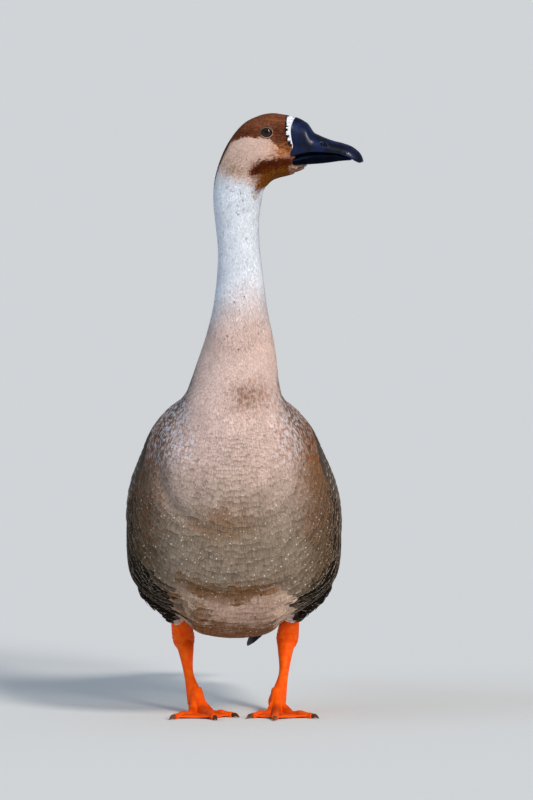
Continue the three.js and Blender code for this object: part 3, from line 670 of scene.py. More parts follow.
def near_path(x, y, path):
    """Distance to a path of (x, y, reach), as a share of its reach there."""
    best = np.full(np.shape(x), 1e3)
    for (x0, y0, r0), (x1, y1, r1) in zip(path, path[1:]):
        run, rise = x1 - x0, y1 - y0
        share = np.clip(((x - x0) * run + (y - y0) * rise) / (run**2 + rise**2), 0, 1)
        away = np.hypot(x - x0 - share * run, y - y0 - share * rise)
        best = np.minimum(best, away / (r0 + share * (r1 - r0)))
    return best


def backness(turns):
    """0 at the belly and 1 at the back, by the share of the way round."""
    return 2 * np.minimum(turns % 1, 1 - turns % 1)


def tuft_edge(x, up):
    """How far aside the pale tufts over the legs end and the dark flanks begin."""
    return 66 - 6 * smooth(x, 8, -8) + 7 * smooth(up, 132, 114)


def body_markings(points, ribs, turns, wander):
    """The masks of the body and the white neck, some with painted shade in them. wander moves their edges
    from feather to feather.
    """
    x, forward, up = points[..., 0], -points[..., 1], points[..., 2]
    aside = np.abs(x)
    to_back = backness(turns)
    body = 1 - smooth(ribs, *NECK_RIBS)
    jittered = up + 5 * wander
    right = smooth(x, 8, -8)
    masks = {}
    masks["buff"] = smooth(jittered, 215, 350) * (1 - 0.6 * smooth(to_back, 0.3, 0.6) * body)
    brown_side = smooth(aside + 3 * wander, 60, 104) * smooth(forward, -200, -120) * body
    brown_side = brown_side * smooth(up, 430, 380)
    masks["brown"] = 0.85 * np.maximum(brown_side, smooth(to_back, 0.4, 0.62) * body)
    over_roll = up - crease_height(x)
    roll_sides = smooth(aside, 68, 46) * smooth(forward, -60, 0)
    # A brown band just over the crease, partly the plumage's own colour and partly painted shade in the
    # crease, and brown low on the belly
    warm = 0.86 * hill(over_roll - 4 + 3 * wander, 0, 11) + 0.85 * smooth(jittered, 128, 108)
    blush = hill(x, 20, 22, up, 382, 17) * smooth(forward, 60, 90)
    roll_ends = smooth(aside - 6 * right + 4 * wander, 72, 36) * smooth(forward, -60, 0)
    rusty_side = smooth(x + 2 * wander, -20, -42) * smooth(over_roll, -8, -18) * smooth(forward, -60, 0)
    keel = hill(x + 12 + 5 * wander, 0, 30, up - 240 + 4 * wander, 0, 17)
    keel_edge = np.hypot((x + 10) / 36, (up - 252) / 30)
    keel += 0.6 * hill(keel_edge, 1, 0.1) * smooth(up, 250, 236)
    rusty_shoulder = hill(x, 93, 15, up, 306, 34) * body
    warm = warm * roll_ends + 0.9 * rusty_side + 0.5 * blush + 0.62 * rusty_shoulder + 0.55 * keel
    masks["warm"] = np.clip(warm, 0, 1)
    creamy = smooth(over_roll + 2.2 * wander, -1, -9) * smooth(jittered, 104, 128)
    masks["cream"] = creamy * roll_sides * (1 - 0.9 * rusty_side)
    # The flanks: dark brown feathers, painted near-black to hold the shade that lies on them
    flank_edge = tuft_edge(x, up) + 1 - 5 * right + 0.95 * np.maximum(up - 134, 0)
    low_side = smooth(aside - flank_edge + 3 * wander, -10, 7) * smooth(jittered, 240, 178)
    # Painted shade: the same near-black on the body's outermost sides, where they turn away
    outer_side_shade = 0.85 * smooth(aside + 2 * wander, 104, 119) * smooth(up, 325, 255)
    masks["flank"] = np.maximum(low_side, outer_side_shade) * smooth(forward, -130, -90) * body
    masks["wing"] = smooth(to_back, 0.62, 0.75) * body * smooth(up, 440, 405)
    shoulder = smooth(aside, 34, 64) * smooth(up, 286, 330) * smooth(up, 420, 385) * body
    collar = hill(x, 17, 20, up, 381, 16) * smooth(forward, 80, 100)
    sides = smooth(aside, 62, 92) * smooth(up, 200, 240)
    outer = smooth(aside, 68, 90)
    fleck = (0.4 - 0.14 * right + 0.45 * outer * (1 - 0.4 * right)) * shoulder
    masks["fleck"] = np.clip(fleck + 0.62 * collar + 0.4 * sides * body + 0.1 * body, 0, 0.9)
    ash = (0.6 + 0.35 * right) * (1 - (0.75 - 0.3 * right) * outer) * shoulder
    ash = ash * (1 - 0.8 * rusty_shoulder)
    masks["ash"] = ash + 0.16 * smooth(up, 290, 340) * smooth(up, 440, 400)
    from_tuft = (aside - tuft_edge(x, up) + 7 - 3.5 * right + 2 * wander) / (6.5 + 4 * smooth(up, 132, 114))
    gusset = hill(from_tuft, 0, 1) * smooth(jittered, 154, 144)
    gusset = np.clip(gusset * smooth(forward, -30, 10) * (0.85 + 0.2 * wander), 0, 1)
    # Painted shade: fewer pale tufts on the goose's right, the side away from the light
    masks["tuft"] = gusset * (1 - 0.15 * right)
    vent = smooth(forward + 3 * wander, -98, -125) * smooth(to_back, 0.62, 0.45)
    rump = smooth(forward, -222, -234)
    white_neck = smooth(jittered + 26 * smooth(to_back, 0.1, 0.7), 446, 530)
    masks["white"] = np.maximum(np.maximum(vent, rump), white_neck)
    return masks


def head_markings(points, ribs, turns, wander):
    """The masks of the head and the nape, with painted shade under the jowl and on the throat."""
    side, ahead, height = to_head(points)
    from_nape = np.abs((turns % 1) - 0.5)
    head = smooth(ribs, 20.6, 21.4)
    masks = {}
    masks["nape"] = smooth(from_nape, 0.085, 0.05) * smooth(ribs, *NECK_RIBS) * smooth(ribs, 22.5, 21.5)
    masks["cheek"] = smooth(ribs + 0.12 * wander, 18.9, 20.0)
    # Painted shade: grey-brown under the back of the cheek, where the head curves under
    jowl = hill(ahead, 82, 15, height, 637, 10)
    jowl += 0.4 * hill(ahead, 74, 11, height, 652, 12)
    masks["jowl"] = np.clip(jowl * (0.7 + 0.1 * wander), 0, 1) * smooth(ribs, 19.0, 19.8)
    over_line = height - curve(CAP_LINE)(ahead) - 0.6 * wander
    masks["cap"] = smooth(over_line, -1.4, 1.0) * head
    lore = smooth(ahead + 1.5 * wander, 121, 130) * smooth(height, 695, 686)
    behind_eye = hill(ahead, 94, 19, over_line, 5, 7.5)
    masks["lore"] = masks["cap"] * np.clip(0.75 * lore + 0.85 * behind_eye, 0, 1)
    under_lore = hill(ahead, 140, 16, height - 656.5 + 0.2 * (ahead - 140), 0, 9.5)
    over_rust = 0.8 * hill(ahead, 136, 16, height, 653.5, 5)
    masks["tan"] = np.clip(np.maximum(under_lore, over_rust) * (0.95 + 0.3 * wander), 0, 1) * head
    # Orange-brown under the head and below the rust: partly its own colour, partly painted shade under the
    # head
    throat = smooth(height + 0.8 * wander, 651, 645) * smooth(ahead + wander, 94, 114)
    throat = throat * smooth(ribs + 0.2 * wander, 18.7, 19.6)
    streak = smooth(near_path(ahead, height, STREAK_PATH) + 0.2 * wander, 1.6, 0.3)
    streak = streak * (0.5 + 0.5 * smooth(height, 602, 620))
    under_chin = smooth(height + 0.6 * wander - 0.12 * (ahead - 144), 641.5, 639.0)
    chin_share = np.maximum(smooth(ahead, 150, 141), 0.8 * under_chin)
    masks["throat"] = np.maximum(throat * chin_share, streak * smooth(ribs, 17.2, 17.9))
    rusty = near_path(ahead, height, RUST_PATH) + 0.2 * wander
    masks["rust"] = smooth(rusty, 1.75, 0.4) * smooth(ribs, 19.0, 19.6) * smooth(height, 608, 618)
    behind = feather_line(side, height) - ahead
    width = curve(BAND_WIDTH)(height) + 0.12 * wander
    masks["band"] = head * smooth(behind, width + 0.3, width - 0.3) * (width > 0)
    masks["line"] = head * smooth(np.abs(behind - width - 1.0), 1.2, 0.6) * (width > 0.3)
    return masks


def markings(points, ribs, turns, rng=None):
    """Masks for points, with the rib number and the share of the way round the body of each."""
    wander = np.zeros(len(ribs)) if rng is None else rng.normal(0, 1, len(ribs))
    return {**body_markings(points, ribs, turns, wander), **head_markings(points, ribs, turns, wander)}


# ==== Feathers ============================================================================================
# Shares of a feather's length and of its half width where it has points, its half width by share of its
# length, how far its corners are drawn back, how arched it is, and how ragged its tip is.
TUFT = {"stations": [0, 0.4, 0.75, 1], "columns": [-1, 0, 1],
        "outline": [(0, 0.45), (0.4, 0.9), (0.75, 0.95), (1, 0.55)],
        "rounding": 0.22, "arch": 0.03, "ragged": 0.04}
COLLAR = {"stations": [0, 0.45, 0.8, 1], "columns": [-1, -0.4, 0.4, 1],
          "outline": [(0, 0.4), (0.45, 0.9), (0.8, 1), (1, 0.75)],
          "rounding": 0.12, "arch": 0.015, "ragged": 0.03}
PLUME = {"stations": [0, 0.35, 0.6, 0.78, 0.92, 1], "columns": [-1, -0.66, -0.33, 0, 0.33, 0.66, 1],
         "outline": [(0, 0.35), (0.35, 0.8), (0.6, 1), (0.78, 1), (0.92, 0.95), (1, 0.85)],
         "rounding": 0.045, "arch": 0.01, "ragged": 0.03}
COVERT = {"stations": [0, 0.3, 0.55, 0.75, 0.88, 0.96, 1], "columns": [-1, -0.6, -0.25, 0, 0.25, 0.6, 1],
          "outline": [(0, 0.3), (0.3, 0.75), (0.55, 0.98), (0.75, 1), (0.88, 0.96), (0.96, 0.8), (1, 0.6)],
          "rounding": 0.1, "arch": 0.03, "ragged": 0.008}
QUILL = {"stations": [0, 0.15, 0.3, 0.45, 0.6, 0.75, 0.86, 0.94, 1],
         "columns": [-1, -0.6, -0.15, 0, 0.15, 0.6, 1],
         "outline": [(0, 0.35), (0.15, 0.75), (0.3, 0.95), (0.45, 1), (0.6, 1), (0.75, 0.94), (0.86, 0.78),
                     (0.94, 0.55), (1, 0.28)],
         "rounding": 0.05, "arch": 0.035, "ragged": 0.004}
RAGGED_LIMIT = 1.5  # in standard deviations, so that no tip folds back on itself
dice = np.random.default_rng(11)


def lay(surface, kind, row, column, length, width, yaw, low, high):
    """Lays one feather at each root on a surface. length and width are in millimetres, yaw turns the tip to
    the feather's left, and low and high are the heights of its root and tip over the surface."""
    stations, columns = np.array(kind["stations"]), np.array(kind["columns"])
    shape = (len(row), len(stations), len(columns))
    points = np.empty((*shape, 3))
    ragged = np.clip(dice.normal(0, 1, shape), -RAGGED_LIMIT, RAGGED_LIMIT) * kind["ragged"]
    ragged = ragged * stations[None, :, None] ** 4
    half_widths = curve(kind["outline"])(stations)
    r, c, reached = row.astype(float), column.astype(float), 0.0

    def heading():
        _, along, around, normal = surface.at(r, c)
        ahead = unit(along)
        turned = unit(ahead * np.cos(yaw)[:, None] + np.cross(normal, ahead) * np.sin(yaw)[:, None])
        return along, around, normal, turned

    for k, share in enumerate(stations):
        for _ in range(3):
            along, around, _, ahead = heading()
            dr, dc = surface.steps(along, around, ahead * ((share - reached) * length / 3)[:, None])
            r, c = r + dr, c + dc
        reached = share
        along, around, normal, ahead = heading()
        aside = np.cross(normal, ahead)
        height = low + (high - low) * share**0.35
        for m, across in enumerate(columns):
            sideways = across * width / 2 * half_widths[k]
            drawn = length * (ragged[:, k, m] - kind["rounding"] * across * across * share**3)
            dr, dc = surface.steps(along, around, aside * sideways[:, None] + ahead * drawn[:, None])
            base, _, _, out = surface.at(r + dr, c + dc)
            lift = height + kind["arch"] * width * (1 - across * across) * (0.4 + 0.6 * share)
            points[:, k, m] = base + out * lift[:, None]
    return points


ALWAYS_READ = ("along", "across", "tone")


def coat_mesh(name, paint, points, kind, root_places, values, patch=0.003):
    """Feathers as one mesh. Each is a thin solid: a curved top, and an underside that joins its edges. points
    are (feathers, stations, columns, 3). root_places are the roots' places on the skin's unwrap, values holds
    a number for each feather by name, and patch is the size of a feather on the unwrap."""
    feathers, rows, columns = points.shape[:3]
    top = np.arange(rows * columns).reshape(rows, columns)
    left = rows * columns + np.arange(rows)
    right = left + rows
    tip = rows * columns + 2 * rows + np.arange(columns - 2)
    root = tip + columns - 2
    order = np.concatenate([top.ravel(), top[:, 0], top[:, -1], top[-1, 1:-1], top[0, 1:-1]])
    total = len(order)
    quads = np.stack([left[:-2], right[:-2], right[1:-1], left[1:-1]], -1)
    end = np.concatenate([[left[-2], right[-2], right[-1]], tip[::-1], [left[-1]]])[None]
    start = np.concatenate([[left[0]], root, [right[0]]])[None]
    over = np.stack([top[:-1, :-1], top[1:, :-1], top[1:, 1:], top[:-1, 1:]], -1).reshape(-1, 4)
    bases = (np.arange(feathers) * total)[:, None, None]
    under = {}
    for faces in (quads, end, start):
        under.setdefault(faces.shape[1], []).append((bases + faces[None]).reshape(-1, faces.shape[1]))
    groups = [np.concatenate(same_size) for same_size in under.values()]
    groups.append((bases + over[None]).reshape(-1, 4))

    stations, across = np.array(kind["stations"]), np.array(kind["columns"])
    half_widths = curve(kind["outline"])(stations)
    along, widths = [np.repeat(each, columns)[order] for each in (stations, half_widths)]
    aside = np.tile(across, rows)[order]
    own = {"along": np.tile(along, feathers), "across": np.tile(aside, feathers)}
    own.update((key, np.repeat(value, total)) for key, value in values.items())
    attributes = {key: own[key] for key in sorted(own) if key in ALWAYS_READ or own[key].any()}
    behind = np.where(np.arange(total) >= total - (columns - 2), 0.15, 0.0)
    u = root_places[:, 0, None] + patch * 0.5 * (aside * np.maximum(widths, 0.4))[None]
    v = root_places[:, 1, None] - patch * (along - behind)[None]
    places = np.stack([u, v], -1).reshape(-1, 2)
    in_order = points.reshape(feathers, rows * columns, 3)[:, order].reshape(-1, 3)
    return mesh_object(name, in_order, groups, [paint], attributes, places)


def count_of_rows(surface, pitch):
    """How many rows of feathers lie before each point of a surface's grid."""
    lengths = np.linalg.norm(np.diff(surface.points, axis=0), axis=-1)
    passed = np.cumsum(lengths * 2 / (pitch[1:] + pitch[:-1]), 0)
    return np.concatenate([np.zeros((1, surface.columns)), passed])


def rows_of_roots(surface, counted, pitch, spread, scatter=0.12):
    """Roots in rows across the lie of the feathers, each row set half a feather along from the last. The
    grids give the count of rows, the distance between rows, and the distance between a row's feathers."""
    levels = np.arange(0.5, counted.max())
    index = np.arange(surface.rows)
    lines = np.stack([np.interp(levels, column, index, right=np.nan) for column in counted.T], 1)
    found_rows, found_columns = [], []
    every = np.arange(surface.columns + 1)
    for number, line in enumerate(lines):
        safe = np.nan_to_num(line)
        spots = surface.at(safe, every[:-1])[0]
        gaps = np.linalg.norm(np.roll(spots, -1, 0) - spots, axis=-1)
        gaps = gaps / surface.field(spread, safe, every[:-1])
        gaps[np.isnan(line) | np.isnan(np.roll(line, -1))] = 0
        travelled = np.concatenate([[0], np.cumsum(gaps)])
        wanted = int(round(travelled[-1]))
        if wanted < 1:
            continue
        places = (np.arange(wanted) + 0.5 * (number % 2) + dice.normal(0, scatter, wanted)) / wanted
        columns = np.interp(places % 1 * travelled[-1], travelled, every)
        closed = np.concatenate([safe, safe[:1]])
        found_columns.append(columns)
        found_rows.append(np.interp(columns, every, closed))
    rows, columns = np.concatenate(found_rows), np.concatenate(found_columns)
    at_spot = surface.field(pitch, rows, columns)
    step = np.maximum(np.linalg.norm(surface.at(rows, columns)[1], axis=-1), 1e-3)
    rows = rows + dice.normal(0, scatter, len(rows)) * at_spot / step
    return np.clip(rows, 0, surface.rows - 2), columns


def unwrap(surface, row, column, keep):
    """Each root's place on the surface's unwrap, which is spread over the whole map for the roots kept."""
    v = 1 - row / surface.rows
    u = (column / surface.columns + 0.5) % 1
    low, high = v[keep].min(), v[keep].max()
    left, right = u[keep].min(), u[keep].max()
    return np.stack([0.02 + 0.96 * (u - left) / (right - left), 0.02 + 0.96 * (v - low) / (high - low)], -1)


# ==== The coat ============================================================================================
BODY = body_surface()
BODY_TREE = BVHTree.FromPolygons(BODY.points[::4, ::4].reshape(-1, 3).tolist(),
                                 grid_faces(BODY_ROWS // 4, BODY_COLUMNS // 4).tolist())
RIBS_GRID = np.repeat(RIB_AT_ROW[:, None], BODY_COLUMNS, 1)
TURNS_GRID = np.repeat(np.arange(BODY_COLUMNS)[None] / BODY_COLUMNS, BODY_ROWS, 0)

# Size of the feathers by rib: distance between rows, between the feathers of a row, length and width
FEATHERS = curve([(-2, 13, 14, 46, 24), (0, 12, 14, 44, 24), (3, 10, 12, 40, 22), (6, 8.8, 8.5, 38, 21),
                  (8, 8, 7, 34, 18), (9.2, 6.6, 5.6, 28, 14), (10.5, 4.6, 4.4, 20, 9),
                  (12, 3.6, 3.5, 15, 6.6), (16, 3.2, 3.0, 13, 5.4), (19.5, 2.5, 2.5, 9, 3.6),
                  (21, 2.0, 2.0, 6.4, 2.9), (24, 1.75, 1.75, 5, 2.5), (26, 1.5, 1.5, 3.6, 2.2)])
WING_OUTLINE = [(78, 330), (66, 292), (32, 246), (-20, 206), (-85, 170), (-150, 141), (-205, 130),
                (-240, 136), (-246, 160), (-205, 215), (-120, 300), (-40, 352), (20, 366), (62, 360)]
WRIST, WING_REAR = np.array([70.0, 318.0]), np.array([-245.0, 148.0])
# Along the wing from the wrist: distance between rows, between feathers, length and width
COVERTS = curve([(0, 8, 9, 24, 14), (70, 11, 12, 34, 18), (110, 15, 15, 46, 24), (160, 20, 19, 64, 30),
                 (210, 25, 22, 90, 34), (255, 28, 22, 112, 36), (400, 28, 22, 112, 36)])
WING_END = 400
TIP_SHARE = 0.88  # where along a feather lies the part of it that shows
BARE_EYE = {"long": 8.1, "tall": 6.9}  # half sizes of the patch that the lids fill
FAN_COLUMNS, TIP_COLUMNS = 240, 160


def within(x, y, outline):
    """Distance inside a closed outline, or below 0 outside it."""
    inside = np.zeros(np.shape(x), bool)
    away = np.full(np.shape(x), 1e3)
    for (x0, y0), (x1, y1) in zip(outline, outline[1:] + outline[:1]):
        crossing = (y0 > y) != (y1 > y)
        inside ^= crossing & (x < (x1 - x0) * (y - y0) / (y1 - y0 + 1e-9) + x0)
        away = np.minimum(away, near_path(x, y, [(x0, y0, 1), (x1, y1, 1)]))
    return np.where(inside, away, -away)


def wing_reach(points):
    """How far inside the folded wing's outline each point is, and how far it is along the wing."""
    forward, up = -points[..., 1], points[..., 2]
    inside = np.minimum(within(forward, up, WING_OUTLINE), np.abs(points[..., 0]) - 12)
    axis = WING_REAR - WRIST
    axis = axis / np.linalg.norm(axis)
    return inside, (forward - WRIST[0]) * axis[0] + (up - WRIST[1]) * axis[1]


def ribs_of(rows):
    return np.interp(rows, np.arange(BODY_ROWS), RIB_AT_ROW)


def common_values(surface, rows, columns, length):
    """Where each feather is rooted, and its markings, which are those of the place that its tip covers."""
    spots, along, _, _ = surface.at(rows, columns)
    shown = rows + TIP_SHARE * length / np.maximum(np.linalg.norm(along, axis=-1), 1e-3)
    ribs = ribs_of(np.minimum(shown, BODY_ROWS - 1))
    values = markings(surface.at(shown, columns)[0], ribs, columns / BODY_COLUMNS, dice)
    values["tone"] = dice.random(len(rows))
    return spots, values


def few_values(count, **masks):
    values = {"tone": dice.random(count), "fringe": np.full(count, 0.8), "shaft": np.full(count, 0.6)}
    for key, value in masks.items():
        values[key] = value + np.zeros(count)
    return values


def random_yaw(count, degrees):
    return np.radians(dice.normal(0, degrees, count))


def lay_coat(name, surface, chosen, kind, paint, slot, shape, values, patch=0.003):
    """Lays the chosen feathers as one piece. shape has the rows, columns, lengths, widths, yaws, and low and
    high heights of all the feathers."""
    points = lay(surface, kind, *[part[chosen] for part in shape])
    places = unwrap(surface, shape[0], shape[1], chosen)[chosen]
    own = {key: value[chosen] for key, value in values.items()}
    return piece(coat_mesh(name, paint, points, kind, places, own, patch), slot)


def lay_quills(name, surface, shape, values):
    """Lays all of a few large feathers as one dark piece."""
    every = np.ones(len(shape[0]), bool)
    return lay_coat(name, surface, every, QUILL, LONG_PLUMAGE, "quills", shape, values, 0.02)


def edges_and_glints(spots, ribs, to_back, values):
    """Adds how strongly each feather of the body is fringed, whether a painted glint of a water drop shows at
    its tip, and its shaft.
    """
    count = len(ribs)
    edged = np.maximum(values["flank"], values["wing"])
    # Painted shade: fewer pale fringes on the goose's right flank, the side away from the light
    flank_fringe = 0.3 - 0.1 * smooth(spots[:, 0], 8, -8)
    bordered = (flank_fringe * values["flank"] + 0.45 * values["wing"]) * (ribs < 11)
    fringe = 0.04 + 0.06 * smooth(ribs, 11, 9) * (1 - edged) + bordered
    values["fringe"] = np.clip(fringe * dice.normal(1, 0.25, count), 0, 1) * (ribs < 19.5)
    # Painted glints of water drops, more of them low on the front of the body
    lowness = 0.12 + 0.42 * smooth(spots[:, 2], 330, 200)
    dry = smooth(ribs, 11.5, 9.5) * smooth(to_back, 0.6, 0.4) * smooth(np.abs(spots[:, 2] - 150), 9, 16)
    wet = (dice.random(count) < lowness) * dry * (1 - 0.8 * values["flank"])
    values["dew"] = wet * dice.uniform(0.35, 0.9, count)
    values["shaft"] = 0.3 * values["wing"]


def body_coat():
    sizes = FEATHERS(RIBS_GRID)
    counted = count_of_rows(BODY, sizes[..., 0])
    rows, columns = rows_of_roots(BODY, counted, sizes[..., 0], sizes[..., 1], 0.07)
    count = len(rows)
    ribs, to_back = ribs_of(rows), backness(columns / BODY_COLUMNS)
    size = FEATHERS(ribs)
    spots, values = common_values(BODY, rows, columns, size[:, 2])
    side, ahead, height = to_head(spots)
    keep = (ahead < feather_line(side, height) - 0.4) | (ribs < 20)
    keep &= (wing_reach(spots)[0] < 14) | (ribs > 12)
    before, over = ahead - EYE["forward"], height - EYE["up"]
    near_eye = (ribs > 20) & (np.abs(side) > 8)
    from_eye = np.hypot((before - 0.3) / BARE_EYE["long"], (over + 0.2) / BARE_EYE["tall"])
    keep &= ~(near_eye & (from_eye < 1.02))

    length = size[:, 2] * dice.normal(1, 0.045, count)
    width = size[:, 3] * dice.normal(1, 0.05, count)
    width = width * (1 + 0.07 * smooth(ribs, 12, 13) * smooth(ribs, 20, 19))
    room = np.hypot(before, over) - 7.2
    length = np.where(near_eye & (before > 0) & (np.abs(over) < 7), np.clip(room, 1.6, length), length)
    belly_fluff = smooth(spots[:, 2], 150, 120) * (ribs < 9)
    yaw = random_yaw(count, 4) * (1 + belly_fluff + 3 * values["tuft"])
    edges_and_glints(spots, ribs, to_back, values)
    low, high = -0.5 * curve(COAT_DEPTH)(ribs), -0.1 + 0.014 * width + dice.normal(0, 0.03, count)
    shape = (rows, columns, length, width, yaw, low, high)

    lower, below_neck, back = ribs < 7.3, ribs < 11, to_back >= 0.62
    regions = {
        "head_feathers": (ribs >= 19.5, TUFT, SHORT_PLUMAGE, "cap_feathers"),
        "neck_feathers": ((ribs >= 13.5) & (ribs < 19.5), TUFT, SHORT_PLUMAGE, "white_feathers"),
        "collar_feathers": (~below_neck & (ribs < 13.5), COLLAR, SHORT_PLUMAGE, "breast_feathers"),
        "breast_feathers": (~lower & below_neck & ~back, PLUME, BODY_PLUMAGE, "breast_feathers"),
        "belly_feathers": (lower & (to_back < 0.3), PLUME, BODY_PLUMAGE, "breast_feathers"),
        "flank_feathers": (lower & (to_back >= 0.3) & ~back, PLUME, BODY_PLUMAGE, "breast_feathers"),
        "back_feathers": (below_neck & back, PLUME, BODY_PLUMAGE, "wing_feathers"),
    }
    for name, (region, kind, paint, slot) in regions.items():
        lay_coat(name, BODY, keep & region, kind, paint, slot, shape, values)


def wing_coat():
    inside, reach = wing_reach(BODY.points)
    wings = BODY.raised(WING_LIFT * smooth(inside, -3, 14))
    along = np.arange(0.0, WING_END + 1)
    rows_by_reach = np.cumsum(1 / COVERTS(along)[:, 0])
    counted = np.maximum.accumulate(np.interp(reach, along, rows_by_reach), 0)
    sizes = COVERTS(np.clip(reach, 0, WING_END))
    rows, columns = rows_of_roots(wings, counted, sizes[..., 0], sizes[..., 1], 0.06)
    count = len(rows)
    spots, values = common_values(wings, rows, columns, 0)
    inside, reach = wing_reach(spots)
    size = COVERTS(np.clip(reach, 0, WING_END))
    length = size[:, 2] * dice.normal(1, 0.03, count)
    width = size[:, 3] * dice.normal(1, 0.03, count)
    keep = (inside > 1) & (reach < 262) & (reach > 4) & (ribs_of(rows) < 10.5)
    to_back = backness(columns / BODY_COLUMNS)
    stacked = 2.2 * smooth(to_back, 0.45, 0.85) * smooth(reach, 110, 200)
    high = 0.5 + stacked + dice.normal(0, 0.1, count)
    for mask in ("buff", "brown", "warm", "flank", "fleck", "ash", "tuft", "cream", "white"):
        values[mask] = values[mask] * 0
    values["wing"] = np.ones(count)
    values["quill"] = 0.4 * smooth(to_back, 0.6, 0.4) * smooth(reach, 120, 180) + 0.45 * smooth(reach, 70, 20)
    values["fringe"] = np.clip(dice.normal(0.75, 0.1, count), 0, 1)
    values["shaft"] = 0.6 * smooth(reach, 60, 160)
    shape = (rows, columns, length, width, random_yaw(count, 1.5), np.full(count, -2.5), high)
    long_ones = reach > 150
    dress = (LONG_PLUMAGE, "wing_feathers", shape, values)
    for name, on_side in (("left", spots[:, 0] > 0), ("right", spots[:, 0] <= 0)):
        coverts = lay_coat("wing_coverts_" + name, wings, keep & on_side & ~long_ones, COVERT, *dress)
        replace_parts(coverts, "wing_" + name)
        lay_coat("wing_quills_" + name, wings, keep & on_side & long_ones, QUILL, *dress, 0.012)


def tail_surface():
    shares = np.linspace(0, 1, 120)
    top, low, half = [even_curve(rows)(shares) for rows in (TAIL_TOP, TAIL_LOW, TAIL_HALF)]
    angles = round_angles(720)
    share = ((1 - np.cos(angles)) / 2)[None, :, None]
    middle = low[:, None] + (top - low)[:, None] * share
    side = half[:, None] * np.sin(angles)[None]
    return Surface(even_columns(np.stack([side, -middle[..., 0], middle[..., 1]], -1), FAN_COLUMNS))


def tail_coat():
    """Two layers of quills, fanned out from the middle pair."""
    fan = tail_surface()
    out = np.arange(-5, 6)
    rank = np.abs(out)
    count = len(out)
    row, width, low = np.full(count, 8.0), np.full(count, 27.0), np.full(count, -1.0)
    length = 103 - 27 * (out / 5.0) ** 2
    above, below = (0.5 + 0.04 * out) * FAN_COLUMNS, (0.04 * out) * FAN_COLUMNS % FAN_COLUMNS
    upper = (row, above, length, width, np.radians(-1.2 * out), low, 2.6 - 0.45 * rank)
    lower = (row, below, length - 1.5, width, np.radians(1.2 * out), low, 0.2 + 0.25 * rank)
    top = lay_quills("tail_feathers", fan, upper, few_values(count, wing=1.0, quill=0.35))
    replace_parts(top, "tail")
    lay_quills("tail_underside", fan, lower, few_values(count, wing=1.0, quill=0.15))


def primaries():
    order = np.arange(6)
    for name, (path, face) in TIPS.items():
        points = np.array([(side, -forward, up) for side, forward, up in path], float)
        flat = np.array([face[0], -face[1], face[2]])
        across = unit(np.cross(points[-1] - points[0], flat))
        radii = [(i / 3, width / 2, depth / 2) for i, (width, depth) in enumerate(TIP_SIZES)]
        blade = limb_surface(points, radii, 160, TIP_COLUMNS, across)
        columns = (0.25 + 0.022 * (order - 2.5)) * TIP_COLUMNS
        whole = np.linalg.norm(np.diff(blade.points.mean(1), axis=0), axis=-1).sum()
        length = whole * (0.98 - 0.11 * order[::-1])
        yaw, low, high = np.radians(0.4 * (order - 2.5)), np.full(6, -2.0), order[::-1] * -0.5 + 1.2
        shape = (np.full(6, 6.0), columns, length, 27.0 - order, yaw, low, high)
        values = few_values(6, quill=1.0, wing=1.0)
        values["fringe"] = values["fringe"] * 0.12
        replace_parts(lay_quills("primaries_coat_" + name, blade, shape, values), "primaries_" + name)


def outside_body(spots):
    """How far outside the body's surface each spot is."""
    distance = np.empty(len(spots))
    for index, spot in enumerate(spots):
        near, normal, _, _ = BODY_TREE.find_nearest(spot)
        distance[index] = (Vector(spot) - near).dot(normal)
    return distance


def even_roots(limb, pitch):
    """Roots spread evenly over a limb, and where they are."""
    sizes = np.full((limb.rows, limb.columns), pitch)
    rows, columns = rows_of_roots(limb, count_of_rows(limb, sizes), sizes, sizes * 1.1)
    return rows, columns, limb.at(rows, columns)[0]


def thigh_coats():
    for name in THIGHS:
        limb = thigh_surface(name, 0)
        rows, columns, spots = even_roots(limb, 6.5)
        keep = (outside_body(spots) > -4) & (rows < limb.rows * 0.8)
        count = len(rows)
        room = (0.84 + 0.035 * dice.normal(0, 1, count) - rows / limb.rows) * 88
        length = np.clip(dice.normal(21, 3, count), 4, np.maximum(room, 4))
        width = dice.normal(7, 1.2, count)
        edge = tuft_edge(spots[:, 0], spots[:, 2])
        outer = smooth(np.abs(spots[:, 0]) + dice.normal(0, 2, count) - edge, -1, 6)
        pale = 1 - outer
        tuft = (0.4 + 0.6 * dice.random(count)) * pale
        # Painted light: near-white over the pale thigh tufts, lifting them out of the body's shadow, more on
        # the goose's left, the lit side
        white = (0.15 + 0.4 * (spots[:, 0] > 0)) * pale
        values = few_values(count, tuft=tuft, cream=0.9 * pale, flank=outer, white=white)
        values["fringe"] = values["fringe"] * 0.5
        values["shaft"] = values["shaft"] * 0
        yaw, low, high = random_yaw(count, 13), np.full(count, -4.0), dice.normal(1.6, 0.8, count)
        shape = (rows, columns, length, width, yaw, low, high)
        lay_coat("thigh_feathers_" + name, limb, keep, PLUME, BODY_PLUMAGE, "white_feathers", shape, values)


def chin_coat():
    limb = chin_surface(0)
    rows, columns, spots = even_roots(limb, 1.6)
    _, ahead, height = to_head(spots)
    keep = (outside_body(spots) > -3.5) & (ahead > 134) & (height < 643.6)
    count = len(rows)
    masks = markings(spots, np.full(count, 24.5), np.zeros(count), dice)
    masks.update(tone=dice.random(count), fringe=np.full(count, 0.15))
    length, width, yaw = dice.normal(4.6, 0.4, count), np.full(count, 2.4), random_yaw(count, 5)
    shape = (rows, columns, length, width, yaw, np.full(count, -0.8), dice.normal(0.45, 0.1, count))
    lay_coat("chin_feathers", limb, keep, TUFT, SHORT_PLUMAGE, "cap_feathers", shape, masks)


body_coat()
wing_coat()
tail_coat()
primaries()
thigh_coats()
chin_coat()


